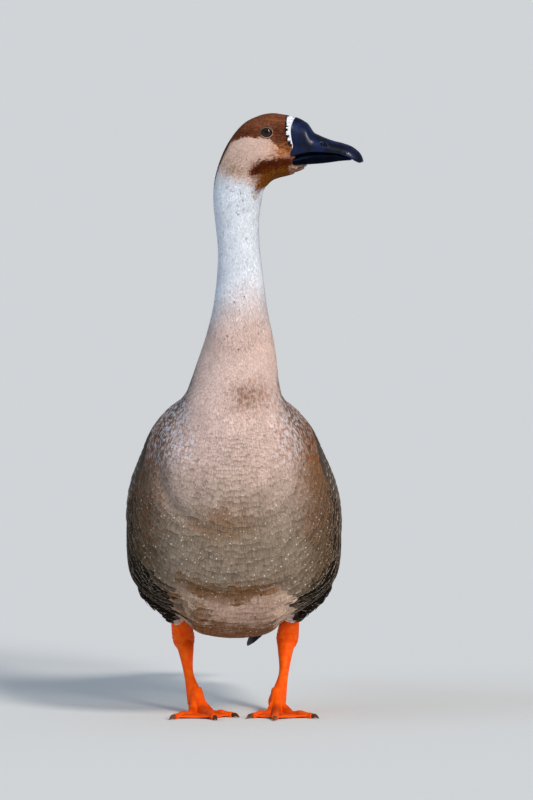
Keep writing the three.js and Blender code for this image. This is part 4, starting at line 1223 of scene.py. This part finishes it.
# ==== Skin ================================================================================================
def voxel_joined(name, parts, voxel, smoothing):
    """One closed skin over several overlapping closed meshes."""
    joined = parts[0]
    join_into(joined, parts[1:])
    joined.name = joined.data.name = name
    joined.data.remesh_voxel_size = voxel * MM
    joined.data.remesh_voxel_adaptivity = 0
    bpy.ops.object.voxel_remesh()
    if smoothing:
        smoother = joined.modifiers.new("smooth", "SMOOTH")
        smoother.factor = 0.5
        smoother.iterations = smoothing
        bpy.ops.object.modifier_apply(modifier="smooth")
    joined.data.polygons.foreach_set("use_smooth", np.ones(len(joined.data.polygons), bool))
    return joined


def vertices_of(obj):
    """An object's points in the goose's own millimetres."""
    flat = np.empty(len(obj.data.vertices) * 3, np.float32)
    obj.data.vertices.foreach_get("co", flat)
    return flat.reshape(-1, 3) / MM - ORIGIN


def move_vertices(obj, points):
    obj.data.vertices.foreach_set("co", in_metres(points))
    obj.data.update()


def nearest_of(targets, points):
    """The number of the target that is nearest to each point."""
    finder = KDTree(len(targets))
    for index, spot in enumerate(targets):
        finder.insert(spot, index)
    finder.balance()
    return np.array([finder.find(spot)[1] for spot in points])


def eye_axes(side):
    """The eye's centre, and its outward, forward and upward directions."""
    centre = from_head(side * EYE["out"], EYE["forward"], EYE["up"])
    outward = turn_about_z(np.array([side * 1.0, 0, 0]), TURN)
    forward = turn_about_z(np.array([0, -1.0, 0]), TURN)
    return centre, outward, forward, np.array([0, 0, 1.0])


# The lids in section: distance from the eye's axis over the opening's own, and height over the eyeball
LID_SECTION = [(0.90, 0.05), (0.91, 0.35), (0.97, 0.75), (1.06, 0.85), (1.16, 0.6), (1.3, 0.1), (1.42, -0.5)]
LID_OPENING = {"long": 6.7, "tall": 5.5}
WRINKLES, WRINKLE_SIZE, EYE_CORNER = 23, 0.012, 0.5
SKIN_VOXEL, LEG_VOXEL = 2.3, 0.85
# How far under the coat's surface the skin of the thighs and chin lies, and how much deeper under the bill
THIGH_DOWN, CHIN_DOWN, UNDER_BILL = 5, 1.0, 3.6


def eyelids(side):
    centre, outward, forward, upward = eye_axes(side)
    angles = round_angles(72) * -side
    rings = []
    for share, lift in LID_SECTION:
        wrinkle = 1 + WRINKLE_SIZE * np.sin(angles * WRINKLES) * (share > 0.93)
        long, tall = LID_OPENING["long"] * share * wrinkle, LID_OPENING["tall"] * share * wrinkle
        corner = EYE_CORNER * np.exp(-((1 - np.cos(angles)) / 0.04))
        flat = (np.cos(angles) * (long + corner))[:, None] * forward
        flat = flat + (np.sin(angles) * tall)[:, None] * upward
        out = np.sqrt(np.maximum((EYE["radius"] + lift) ** 2 - (flat**2).sum(1), 1))
        rings.append(centre + flat + out[:, None] * outward)
    inner = centre + (rings[0] - centre) * 0.93
    shares = np.array([share for share, _ in LID_SECTION[::-1]] + [0.9])
    near_rim = smooth(shares, 0.94, 1.02) * smooth(shares, 1.4, 1.2)
    below = 0.2 + 0.8 * smooth(np.sin(angles) - 0.4 * np.cos(angles), 0.3, -0.7)
    pale = np.append((near_rim[:, None] * below[None]).ravel(), [0, 0])
    points, faces = capped(np.array(rings[::-1] + [inner]))
    return points, faces, {"pale": pale}


def eyelid_material():
    made, tree, shader = material("eyelid", Roughness=0.55, Specular_IOR_Level=0.2)
    mottle = between(tree, noise(tree, 700.0, 3.0), 0.35, 0.7)
    rim = blend(tree, mottle, rgb("F2C4A6"), rgb("BC8464"))
    put(shader.inputs["Base Color"], blend(tree, reading(tree, "pale"), rgb("1C0D07"), rim))
    bumped(tree, shader, 0.4, 0.0002, noise(tree, 2500.0))
    return made


def skin():
    depth = curve(COAT_DEPTH)(RIBS_GRID)
    side, ahead, height = to_head(BODY.points)
    beyond = ahead - feather_line(side, height)
    depth = depth + UNDER_BILL * smooth(beyond, -0.6, 1.8) * (RIBS_GRID > 21)
    inner = (BODY.points - BODY.normals * depth[..., None])[2:-70:3, ::2]
    shells = [inner, *[thigh_surface(name, THIGH_DOWN).points for name in THIGHS]]
    shells.append(chin_surface(CHIN_DOWN).points)
    parts = [mesh_object("skin", *capped(shell)) for shell in shells]
    joined = voxel_joined("skin", parts, SKIN_VOXEL, 3)
    points = vertices_of(joined)
    nearest = nearest_of(BODY.points[::5, ::4].reshape(-1, 3), points)
    ribs, turns = [grid[::5, ::4].ravel()[nearest] for grid in (RIBS_GRID, TURNS_GRID)]
    add_values(joined.data, markings(points, ribs, turns))
    joined.data.materials.append(SKIN)
    lids = []
    for sign in (1, -1):
        lid_points, lid_faces, shades = eyelids(sign)
        lids.append(mesh_object("lids", lid_points, lid_faces, [LID], shades))
    join_into(joined, lids)
    return piece(joined, "breast_feathers", "trunk", "neck_lower", "neck_middle", "neck_upper", "head",
                 "thigh_left", "thigh_right")


LID = eyelid_material()
skin()

# ==== Eyes ================================================================================================
PUPIL, IRIS, CORNEA = (2.9, 2.5), (4.1, 5.0), 0.55  # in millimetres, from the eye's axis and over the eyeball
BEHIND_EYE = 9
EYE_COLUMNS = 64


def eye_material():
    """A wet dark brown iris with a black pupil, both by the distance from the eye's axis."""
    made, tree, shader = material("wet_eye", Roughness=0.3, Specular_IOR_Level=0.0, Coat_Weight=1.0,
                                  Coat_Roughness=0.03, Coat_IOR=1.38)
    from_axis = reading(tree, "from_axis")
    iris = blend(tree, noise(tree, 1800.0, 4.0), rgb("120705"), rgb("3C1D10"))
    rimmed = blend(tree, between(tree, from_axis, *IRIS), iris, rgb("0C0504"))
    put(shader.inputs["Base Color"], blend(tree, between(tree, from_axis, *PUPIL), rimmed, rgb("020202")))
    return made


def eyes():
    paint = eye_material()
    for name, sign in (("left", 1), ("right", -1)):
        centre, outward, forward, upward = eye_axes(sign)
        angles = round_angles(EYE_COLUMNS) * sign
        polar = np.linspace(0.012, math.pi - 0.012, 48)
        cornea = CORNEA * np.exp(-((polar / 0.62) ** 4))
        spin = np.cos(angles)[None, :, None] * forward + np.sin(angles)[None, :, None] * upward
        radius = (EYE["radius"] - 0.1 + cornea)[:, None, None]
        sine, cosine = np.sin(polar)[:, None, None], np.cos(polar)[:, None, None]
        rings = centre + radius * (sine * spin + cosine * outward)
        from_axis = np.where(polar > math.pi / 2, BEHIND_EYE, np.sin(polar) * EYE["radius"])
        from_axis = np.append(np.repeat(from_axis, EYE_COLUMNS), [0, BEHIND_EYE])
        eye = mesh_object("eyeball_" + name, *capped(rings), [paint], {"from_axis": from_axis})
        piece(eye, "eye", "eye_" + name)


eyes()

# ==== Bill ================================================================================================
# Forward of the feathers' midline end, and height or half width
RIDGE = curve([(-12, 699), (0, 697.8), (4, 696.4), (10, 693.2), (14.5, 689.8), (17, 686.2), (20, 681.6),
               (27, 677.4), (34, 674.4), (44, 671), (54, 668.6), (62.5, 665.4), (70, 660.6), (74.5, 656),
               (76.6, 652), (77.4, 649.4)])
CUTTING_EDGE = curve([(-12, 650), (0, 651.8), (7, 654.3), (22, 657.4), (38, 657.3), (53, 655.4), (64, 651.2),
                      (70, 648.2), (74, 646.6), (77.4, 647.6)])
HALF_WIDTH = curve([(-12, 18.5), (0, 17.8), (12, 17.3), (28, 15.5), (46, 13.6), (58, 13), (66, 11.6),
                    (72, 8.8), (75.6, 6), (77.4, 3.4)])
UNDERSIDE = curve([(-12, 642.5), (0, 643.4), (16, 644.2), (21, 644.6), (29, 645.2), (42, 646.8), (52, 648.3),
                   (62, 649.2), (65, 649.4)])
BILL_COLUMNS = 120
TUCK = 3.0  # how far each mandible reaches in under the feathers
SEAT = 0.22  # the share of a mandible's height where it is widest
DRAWN_IN = 0.13  # the share by which its root is narrower under the feathers
UPPER_LENGTH, LOWER_LENGTH = 77.2, 64.0
LIP = 1.6  # how far the lower mandible lies inside the upper one
NAIL_START, NAIL_PROUD = 61.5, 0.5
NOSTRIL = {"forward": 33.8, "up": 667.8, "long": 4.4, "tall": 1.9, "tilt": -0.28, "deep": 2.6}


def bill_shell(start, length, top, bottom, half, peak, rows):
    """The points of a mandible, with how far forward each is. start is where each of its lengthwise lines
    begins."""
    angles = round_angles(BILL_COLUMNS)
    out, up = np.sin(angles), -np.cos(angles)
    share = (1 - (1 - np.linspace(0, 1, rows)) ** 1.5)[:, None]
    at = start[None] + (length - start[None]) * share
    high, low = top(at), bottom(at)
    seat = low + SEAT * (high - low)
    above = up[None] > 0
    vault = (high - seat) * np.maximum(up, 0)[None] ** (2 / peak(at))
    rise = np.where(above, vault, (low - seat) * np.maximum(-up, 0)[None] ** 0.5)
    across = np.sign(out) * np.abs(out) ** np.where(above, 1, 0.6) * half(at)
    return np.stack([across, -(BILL_ROOT + at), seat + rise], -1), at


def feather_start(top, bottom, half):
    """Where each lengthwise line of a mandible comes out from under the feathers, less the tuck."""
    shell, _ = bill_shell(np.zeros(BILL_COLUMNS), 1.0, top, bottom, half, lambda at: 2.1 + 0 * at, 2)
    return feather_line(shell[0, :, 0], shell[0, :, 2]) - BILL_ROOT - TUCK


def carve_nostrils(points):
    """Presses a slit into each side, with a low rim round it. Gives where the slit's painted shade goes."""
    side, ahead, up = points[..., 0], -points[..., 1], points[..., 2]
    dx, dz = ahead - BILL_ROOT - NOSTRIL["forward"], up - NOSTRIL["up"]
    cosine, sine = math.cos(NOSTRIL["tilt"]), math.sin(NOSTRIL["tilt"])
    reach = np.hypot((dx * cosine + dz * sine) / NOSTRIL["long"], (dz * cosine - dx * sine) / NOSTRIL["tall"])
    pressed = NOSTRIL["deep"] * smooth(reach, 1.05, 0.45) - 0.25 * hill(reach, 1.35, 0.3)
    points[..., 0] = side - np.sign(side) * pressed
    return smooth(reach, 1.1, 0.6)


def tucked_in(shell):
    """Draws a mandible's root in where the feathers lie over it."""
    behind = feather_line(shell[..., 0], shell[..., 2]) + shell[..., 1]
    centre = shell.mean(1, keepdims=True)
    return shell + (centre - shell) * (DRAWN_IN * smooth(behind, -0.2, 1.6))[..., None]


def bill_piece(name, paint, shell, **values):
    """values has a number for each point of the shell by name. It is 0 in the middle of both ends."""
    values = {key: np.append(grid.ravel(), [0, 0]) for key, grid in values.items()}
    obj = mesh_object(name + "_horn", *capped(place_on_head(shell)), [paint], values)
    return piece(obj, "bill", name)


def bill():
    def peak(at):
        return 2.1 - 0.35 * smooth(at, 10, 30)

    def flare(at):
        return HALF_WIDTH(at) + 0.4 * smooth(at, 20, 40) * smooth(at, 70, 60)

    def over(table, amount):
        return lambda at: table(at) + amount * smooth(at, 60.5, 63.5)

    def lower_half(at):
        return HALF_WIDTH(at) - LIP

    def lower_top(at):
        return CUTTING_EDGE(at) + 3.0

    start = feather_start(RIDGE, CUTTING_EDGE, HALF_WIDTH)
    upper, ahead = bill_shell(start, UPPER_LENGTH, RIDGE, CUTTING_EDGE, flare, peak, 170)
    grooved = 0.35 * hill(ahead, 60, 1.1) * smooth(upper[..., 2], 652, 656)
    upper = upper - Surface(upper).normals * grooved[..., None]
    # Where the nostrils' painted shade goes
    hollow = carve_nostrils(upper)
    bill_piece("bill_upper", HORN_PAINTED_SHEEN, tucked_in(upper), hollow=hollow)

    angles = round_angles(BILL_COLUMNS)
    start = NAIL_START + 6.5 * np.abs(np.sin(angles)) ** 2 + 5 * (np.cos(angles) > 0)
    outline = (over(RIDGE, NAIL_PROUD), over(CUTTING_EDGE, -0.3), over(HALF_WIDTH, NAIL_PROUD))
    nail, _ = bill_shell(start, UPPER_LENGTH + 0.3, *outline, peak, 60)
    nail[0] = nail[0] + (nail[0].mean(0) - nail[0]) * 0.12
    bill_piece("bill_nail", NAIL_PAINTED_SHEEN, nail)

    outline = (lower_top, UNDERSIDE, lower_half)
    lower, _ = bill_shell(feather_start(*outline), LOWER_LENGTH, *outline, lambda at: 2.6 + 0 * at, 110)
    bill_piece("bill_lower", LOWER_HORN_PAINTED_SHADE, tucked_in(lower))


def horn_group():
    """Horn with paler clouds in it and fine scuffs along it, and painted shade in its hollows."""
    inputs = [("Dark", "Color", (0, 0, 0, 1)), ("Pale", "Color", (0.1, 0.1, 0.1, 1)),
              ("Scuffs", "Float", 240.0)]
    outputs = [("Colour", "Color"), ("Roughness", "Float"), ("Height", "Float")]
    tree, given, out = group("horn", inputs, outputs)
    cloud = between(tree, noise(tree, 70.0, 3.0), 0.3, 0.7)
    colour = blend(tree, cloud, given["Dark"], given["Pale"])
    # Painted shade: near-black in the hollows of the nostrils
    put(out["Colour"], blend(tree, reading(tree, "hollow"), colour, (0.003, 0.003, 0.004, 1)))
    scuffs = noise(tree, given["Scuffs"], 3.0, (1.0, 1.0, 4.0))
    put(out["Roughness"], between(tree, scuffs, 0.3, 0.7, 0.3, 0.46))
    pits = times(tree, noise(tree, 1500.0), 0.3)
    put(out["Height"], sums(tree, "MULTIPLY_ADD", scuffs, 0.7, pits))
    return tree


HORN_GROUP = horn_group()


def horn_material(name, dark, pale, scuffs, gloss=0.2):
    made, tree, shader = material(name, Coat_Weight=gloss, Coat_Roughness=0.24,
                                  Specular_IOR_Level=0.3 * gloss)
    horn = use(tree, HORN_GROUP, {"Dark": rgb(dark), "Pale": rgb(pale), "Scuffs": scuffs})
    put(shader.inputs["Base Color"], horn["Colour"])
    put(shader.inputs["Roughness"], horn["Roughness"])
    bumped(tree, shader, 0.22, 0.0004, horn["Height"])
    return made


# The upper bill: black horn painted dark blue with paler blue clouds, a painted reflection of a blue sky
HORN_PAINTED_SHEEN = horn_material("black_horn", "02030A", "071538", 240.0, 0.3)
# The lower mandible: darker than the upper, painted shade under the bill, with a faint painted blue
# reflection
LOWER_HORN_PAINTED_SHADE = horn_material("lower_horn", "010205", "040916", 240.0, 0.03)
# The nail: dark horn whose blue tint and paler clouds are a painted reflection and highlight
NAIL_PAINTED_SHEEN = horn_material("nail_horn", "050917", "151C30", 500.0)
bill()

# ==== Legs ================================================================================================
LEG_PATHS = {
    "left": {"bare": (65, 54, 105), "hock": (62, 64, 84), "joint": (50.5, 33, 15), "heading": 3},
    "right": {"bare": (-61.5, 54, 105), "hock": (-58, 64, 84), "joint": (-43.5, 33, 15), "heading": 12},
}
# Half width and half depth from the thigh's end down: knee top, hock, below it, waist, foot
LEG_RADII = [(10.4, 10.2), (13.0, 12.4), (9.4, 10.4), (5.6, 7.4), (10.2, 9.4), (8.5, 8)]
SHANK_BOW = 2.3
TOES = {
    "inner": {"angle": 28, "length": 61, "radius": 4.8, "bend": -6, "lift": 0, "rise": 11},
    "middle": {"angle": 5, "length": 74, "radius": 5.3, "bend": 0, "lift": 0, "rise": 8},
    "outer": {"angle": -29, "length": 68, "radius": 4.8, "bend": 7, "lift": 0, "rise": 5},
    "hind": {"angle": 168, "length": 19, "radius": 3.3, "bend": 0, "lift": 3, "rise": -4},
}
TOE_SINK = 1.2  # how much of each toe's pad the floor flattens
WEB = {"thick": 2.4, "sag": 1.5, "front": 0.94, "hollow": 0.13}
CLAW = {"length": 9.5, "radius": 2.7, "up": 1.1}
# Half width of a claw by share of its length, over its radius, and its depth over its width
CLAW_TAPER = [(0, 0.95), (0.35, 0.9), (0.7, 0.62), (1, 0.22)]
CLAW_DEPTH = 0.85
# The joint of the foot, by share of its height, and the heights that its rings lie at
BALL = [(0, 0.6, 0.6), (0.15, 6, 6.8), (0.5, 8.8, 9.6), (0.85, 6, 6.8), (1, 0.6, 0.6)]
BALL_HEIGHTS = (-1.5, 3, 7, 11, 15.5)
TOE_PLATE, SHANK_PLATE = 2.9, 3.6  # from one plate to the next
TOE_GROOVE, SHANK_GROOVE, WRINKLE = 0.32, 0.22, 0.42  # how deep they are cut
SOLE = 0.02  # height of the lowest skin over the floor


def toe_path(leg, toe, sign):
    """From the foot's joint down to the floor and out to the claw."""
    angle = math.radians(leg["heading"] - toe["angle"] * sign)
    bend = math.radians(toe["bend"] * sign)

    def onward(turn):
        return np.array([math.sin(angle + turn), -math.cos(angle + turn), 0])

    pad = toe["radius"] - TOE_SINK + toe["lift"]
    start = np.array(leg["joint"], float) + [0, 0, toe["rise"]]
    knuckle = start + onward(-bend) * toe["length"] * 0.42
    tip = start + onward(0) * toe["length"] * 0.75
    end = start + onward(bend * 0.6) * toe["length"]
    knuckle[2], tip[2], end[2] = pad + 0.2, pad + 0.4, pad * 0.8
    return np.array([start, knuckle, tip, end])


def leg_line(leg, sign):
    bare, hock, joint = [np.array(leg[key], float) for key in ("bare", "hock", "joint")]
    parting = hock + (joint - hock) * 0.17
    waist = (parting + joint) / 2 + [sign * SHANK_BOW, 0, 0]
    top, bottom = bare + unit(bare - hock) * 6, joint + unit(joint - hock) * 5
    return np.array([top, hock, parting, waist, joint, bottom])


def shares_of(path, count):
    return even_curve(path)(np.linspace(0, 1, count))


def web_points(one, other):
    """A thin sheet between two toes, with a hollowed front edge."""
    rows, columns = 24, 30
    across = np.linspace(0, 1, rows)
    arch = np.sin(math.pi * across)
    sheet = []
    first, second = shares_of(one, 400), shares_of(other, 400)
    for share, bow in zip(across, arch):
        reach = (WEB["front"] - WEB["hollow"] * bow) * np.linspace(0, 1, columns)
        index = np.round(reach * 399).astype(int)
        line = first[index] * (1 - share) + second[index] * share
        line[:, 2] -= WEB["sag"] * bow
        line[:, 2] += 0.35 * bow * np.sin(reach * 26 + share * 5)
        sheet.append(line)
    sheet = np.array(sheet)
    lift = np.array([0, 0, WEB["thick"] / 2])
    return np.concatenate([sheet + lift, (sheet - lift)[:, ::-1]], 1)


def along_paths(points, paths):
    """For each point, its distance along the nearest path, that path's number, and its direction from it."""
    best = np.full(len(points), 1e9)
    travelled, number, away = np.zeros(len(points)), np.zeros(len(points), int), np.zeros((len(points), 3))
    for which, path in enumerate(paths):
        line = shares_of(path, 160)
        steps = np.concatenate([[0], np.cumsum(np.linalg.norm(np.diff(line, axis=0), axis=1))])
        nearest = nearest_of(line, points)
        offset = points - line[nearest]
        onward = unit(np.gradient(line, axis=0))[nearest]
        slide = (offset * onward).sum(1)
        offset = offset - slide[:, None] * onward
        distance = np.linalg.norm(offset, axis=1)
        closer = distance < best
        best[closer], number[closer] = distance[closer], which
        travelled[closer] = (steps[nearest] + slide)[closer]
        away[closer] = offset[closer]
    return travelled, number, away, best


def grooves_at(travelled, spacing):
    """1 in the grooves between plates, which lie across the leg at that spacing."""
    return 1 - np.abs(np.sin(travelled / spacing * math.pi)) ** 0.35


def leg_parts(leg, sign, line, toes):
    """The overlapping closed meshes of a leg: the leg, its joint, its toes and its webs."""
    radii = [(i / 5, *pair) for i, pair in enumerate(LEG_RADII)]
    joint = np.array(leg["joint"], float)
    middles = [joint + [0, 2, height - 15] for height in BALL_HEIGHTS]
    shapes = [limb_surface(line, radii, 160, 72).points, limb_surface(middles, BALL, 40, 40).points]
    shares = np.linspace(0, 1, 33)
    for toe, path in toes.items():
        pads = 1 + 0.1 * np.cos(shares * 6 * math.pi)
        sizes = TOES[toe]["radius"] * pads * (1 - 0.32 * shares) * (1 + 0.35 * hill(shares, 0, 0.16))
        shapes.append(limb_surface(path, np.stack([shares, sizes, sizes], 1), 120, 40, (0, 0, 1)).points)
    for one, other in (("inner", "middle"), ("middle", "outer")):
        pair = (toes[one], toes[other]) if sign > 0 else (toes[other], toes[one])
        shapes.append(web_points(*pair))
    parts = [mesh_object("part", *capped(shape)) for shape in shapes]
    for part in parts:
        face_outward(part)
    return parts


def cut_scales(obj, line, toes):
    """Presses plates and wrinkles into a leg, and marks for its paint its webs, its low parts, and the seams
    and grooves that get painted shade.
    """
    points = vertices_of(obj)
    normals = np.empty(len(points) * 3, np.float32)
    obj.data.vertex_normals.foreach_get("vector", normals)
    normals = normals.reshape(-1, 3)
    travelled, number, away, distance = along_paths(points, [line, *toes.values()])
    on_leg, on_foot = number == 0, number > 0
    topside = smooth(normals[:, 2], 0.1, 0.5)
    groove = TOE_GROOVE * grooves_at(travelled, TOE_PLATE) * topside * (on_foot & (distance < 6))
    knee = hill(travelled, 27, 15) * on_leg
    folds = 0.5 + 0.5 * np.sin(travelled * 1.25 + 2.2 * np.arctan2(away[:, 0], -away[:, 1]))
    wrinkles = WRINKLE * folds * knee
    front = smooth(-normals[:, 1], 0.1, 0.6) * on_leg * (travelled > 34)
    shank = SHANK_GROOVE * front * grooves_at(travelled, SHANK_PLATE)
    points = points - normals * (groove + wrinkles + shank)[:, None]
    points[:, 2] = np.maximum(points[:, 2], SOLE)
    move_vertices(obj, points)
    seam = hill(distance, 5.2, 1.1) * on_foot * topside * smooth(travelled, 22, 32)
    cut = groove / TOE_GROOVE + wrinkles + 3 * shank
    on_web = (on_foot & (distance >= 5)) * 1.0
    add_values(obj.data, {"web": on_web, "seam": seam, "groove": cut, "low": smooth(points[:, 2], 30, 8)})


def claw_shape(path):
    """A claw at the end of a toe's path."""
    onward = unit((path[-1] - path[-2]) * [1, 1, 0])
    start = path[-1] - onward * 1.2
    tip = path[-1] + onward * (CLAW["length"] + 0.3)
    tip[2] = CLAW["up"]
    middle = path[-1] + onward * CLAW["length"] * 0.5
    middle[2] = max(path[-1][2], CLAW["up"] + 1) + 0.5
    radii = [(share, CLAW["radius"] * thin, CLAW["radius"] * CLAW_DEPTH * thin) for share, thin in CLAW_TAPER]
    points = limb_surface([start, middle, tip], radii, 40, 28, (0, 0, 1)).points
    points[..., 2] = np.maximum(points[..., 2], SOLE)
    return capped(points)


def build_leg(name):
    leg, sign = LEG_PATHS[name], {"left": 1, "right": -1}[name]
    line = leg_line(leg, sign)
    toes = {toe: toe_path(leg, facts, sign) for toe, facts in TOES.items()}
    leg_skin = voxel_joined("leg_" + name, leg_parts(leg, sign, line, toes), LEG_VOXEL, 4)
    cut_scales(leg_skin, line, toes)
    leg_skin.data.materials.append(SCALES)
    piece(leg_skin, "leg_skin", "hock_" + name, "shank_" + name, "foot_" + name)
    claws = mesh_object("claws_" + name, *merged([claw_shape(path) for path in toes.values()]), [CLAW_HORN])
    piece(claws, "claw", *["claw_" + name + "_" + toe for toe in TOES])


def merged(meshes):
    """Several (points, faces) as one."""
    total, all_points, by_size = 0, [], {}
    for points, faces in meshes:
        for group_faces in faces:
            by_size.setdefault(group_faces.shape[1], []).append(group_faces + total)
        all_points.append(points)
        total += len(points)
    return np.concatenate(all_points), [np.concatenate(groups) for groups in by_size.values()]


def face_outward(obj):
    """Turns a closed mesh's faces outward, whichever way its rings ran."""
    shape = bmesh.new()
    shape.from_mesh(obj.data)
    bmesh.ops.recalc_face_normals(shape, faces=shape.faces)
    shape.to_mesh(obj.data)
    shape.free()


def scales_material():
    """Orange skin in small raised scales, redder low down and on the webs, with painted shade between the
    scales, in its grooves and along the seams of its webs.
    """
    made, tree, shader = material("orange_scales", Specular_IOR_Level=0.12)
    place = node(tree, "TexCoord").outputs["Object"]
    edges = node(tree, "TexVoronoi", {"Vector": place, "Scale": 520.0}, feature="DISTANCE_TO_EDGE").outputs[0]
    raised = between(tree, edges, 0.0, 0.16)
    colour = blend(tree, between(tree, noise(tree, 160.0, 3.0), 0.35, 0.7), rgb("FF5200"), rgb("FF6E06"))
    # Painted shade between the raised scales
    shade_between_scales = times(tree, less(tree, 1.0, raised), 0.4)
    cut = sums(tree, "MAXIMUM", shade_between_scales, reading(tree, "groove"))
    low, web, seam = [reading(tree, name) for name in ("low", "web", "seam")]
    # The grooves and the seams get painted shade; the low parts and the webs are redder
    tints = [(low, 0.4, "E84A04"), (web, 0.5, "F2560A"), (cut, 0.42, "B83002"), (seam, 0.5, "8A2A06")]
    for share, strength, code in tints:
        colour = blend(tree, times(tree, share, strength), colour, rgb(code))
    put(shader.inputs["Base Color"], colour)
    put(shader.inputs["Roughness"], between(tree, noise(tree, 420.0), 0.3, 0.7, 0.36, 0.56))
    bumped(tree, shader, 0.5, 0.0004, raised)
    return made


SCALES = scales_material()
CLAW_HORN = horn_material("claw_horn", "3A2418", "7A543A", 600.0)
for leg_name in LEG_PATHS:
    build_leg(leg_name)

# ==== Floor, light and camera =============================================================================
FLOOR_SIZE = 500  # in metres
FLOOR_COLOUR = (0.8, 0.8, 0.79, 1)
SKY_GLOW, SKY_STRENGTH = (0.62, 0.69, 0.8, 1), 0.44
DISTANCE_TONE = (0.630, 0.656, 0.677, 1)  # what the camera sees beyond the floor
WARM_LIGHT, COOL_LIGHT, SHEEN_LIGHT = (1.0, 0.95, 0.88), (0.56, 0.78, 1.0), (0.5, 0.72, 1.0)
TARGET = Vector((0.0256, -0.0925, 0.3659))
CAMERA = {"distance": 14.0, "elevation": math.radians(5), "lens": 548.0, "sensor": 36, "reach": 600}

floor_paint, _, floor_shader = material("pale_floor", Roughness=0.9, Specular_IOR_Level=0.0)
floor_shader.inputs["Base Color"].default_value = FLOOR_COLOUR
bpy.ops.mesh.primitive_plane_add(size=FLOOR_SIZE)
floor = bpy.context.active_object
floor.name = "floor"
floor.data.materials.append(floor_paint)

world = bpy.data.worlds.new("studio")
world.use_nodes = True
sky = world.node_tree
glow = sky.nodes["Background"]
glow.inputs[0].default_value = SKY_GLOW
glow.inputs[1].default_value = SKY_STRENGTH
beyond = node(sky, "Emission", {"Color": DISTANCE_TONE, "Strength": 1.0}).outputs[0]
seen = node(sky, "LightPath").outputs["Is Camera Ray"]
either = node(sky, "MixShader", {0: seen, 1: glow.outputs[0], 2: beyond}).outputs[0]
put(sky.nodes["World Output"].inputs[0], either)
bpy.context.scene.world = world


def sun(name, azimuth, elevation, strength, colour, angle):
    """A far lamp. Azimuth 0 is in front of the goose and 90 is on its left."""
    lamp = bpy.data.lights.new(name, "SUN")
    lamp.energy, lamp.color, lamp.angle = strength, colour, math.radians(angle)
    holder = bpy.data.objects.new(name, lamp)
    bpy.context.scene.collection.objects.link(holder)
    a, e = math.radians(azimuth), math.radians(elevation)
    toward = Vector((math.sin(a) * math.cos(e), -math.cos(a) * math.cos(e), math.sin(e)))
    holder.rotation_euler = toward.to_track_quat("Z", "Y").to_euler()
    return holder


sun("key", 32, 38, 1.65, WARM_LIGHT, 12)
sun("fill", -65, 28, 0.7, COOL_LIGHT, 40).visible_glossy = False
sun("spark", 30, 19, 1.3, WARM_LIGHT, 13)
# A wide soft lamp for the sheen of the bill alone
sheen = sun("sheen", -30, 46, 2.3, SHEEN_LIGHT, 24)
horn_pieces = bpy.data.collections.new("horn_pieces")
for obj in bpy.context.scene.objects:
    if obj.name.startswith("bill_") and obj.name.endswith("_horn"):
        horn_pieces.objects.link(obj)
sheen.light_linking.receiver_collection = horn_pieces

lens = bpy.data.cameras.new("camera")
lens.lens, lens.sensor_width, lens.clip_end = CAMERA["lens"], CAMERA["sensor"], CAMERA["reach"]
bpy.context.scene.view_settings.view_transform = "Standard"
camera = bpy.data.objects.new("camera", lens)
bpy.context.scene.collection.objects.link(camera)
toward_camera = Vector((0, -math.cos(CAMERA["elevation"]), math.sin(CAMERA["elevation"])))
camera.location = TARGET + toward_camera * CAMERA["distance"]
camera.rotation_euler = toward_camera.to_track_quat("Z", "Y").to_euler()
bpy.context.scene.camera = camera
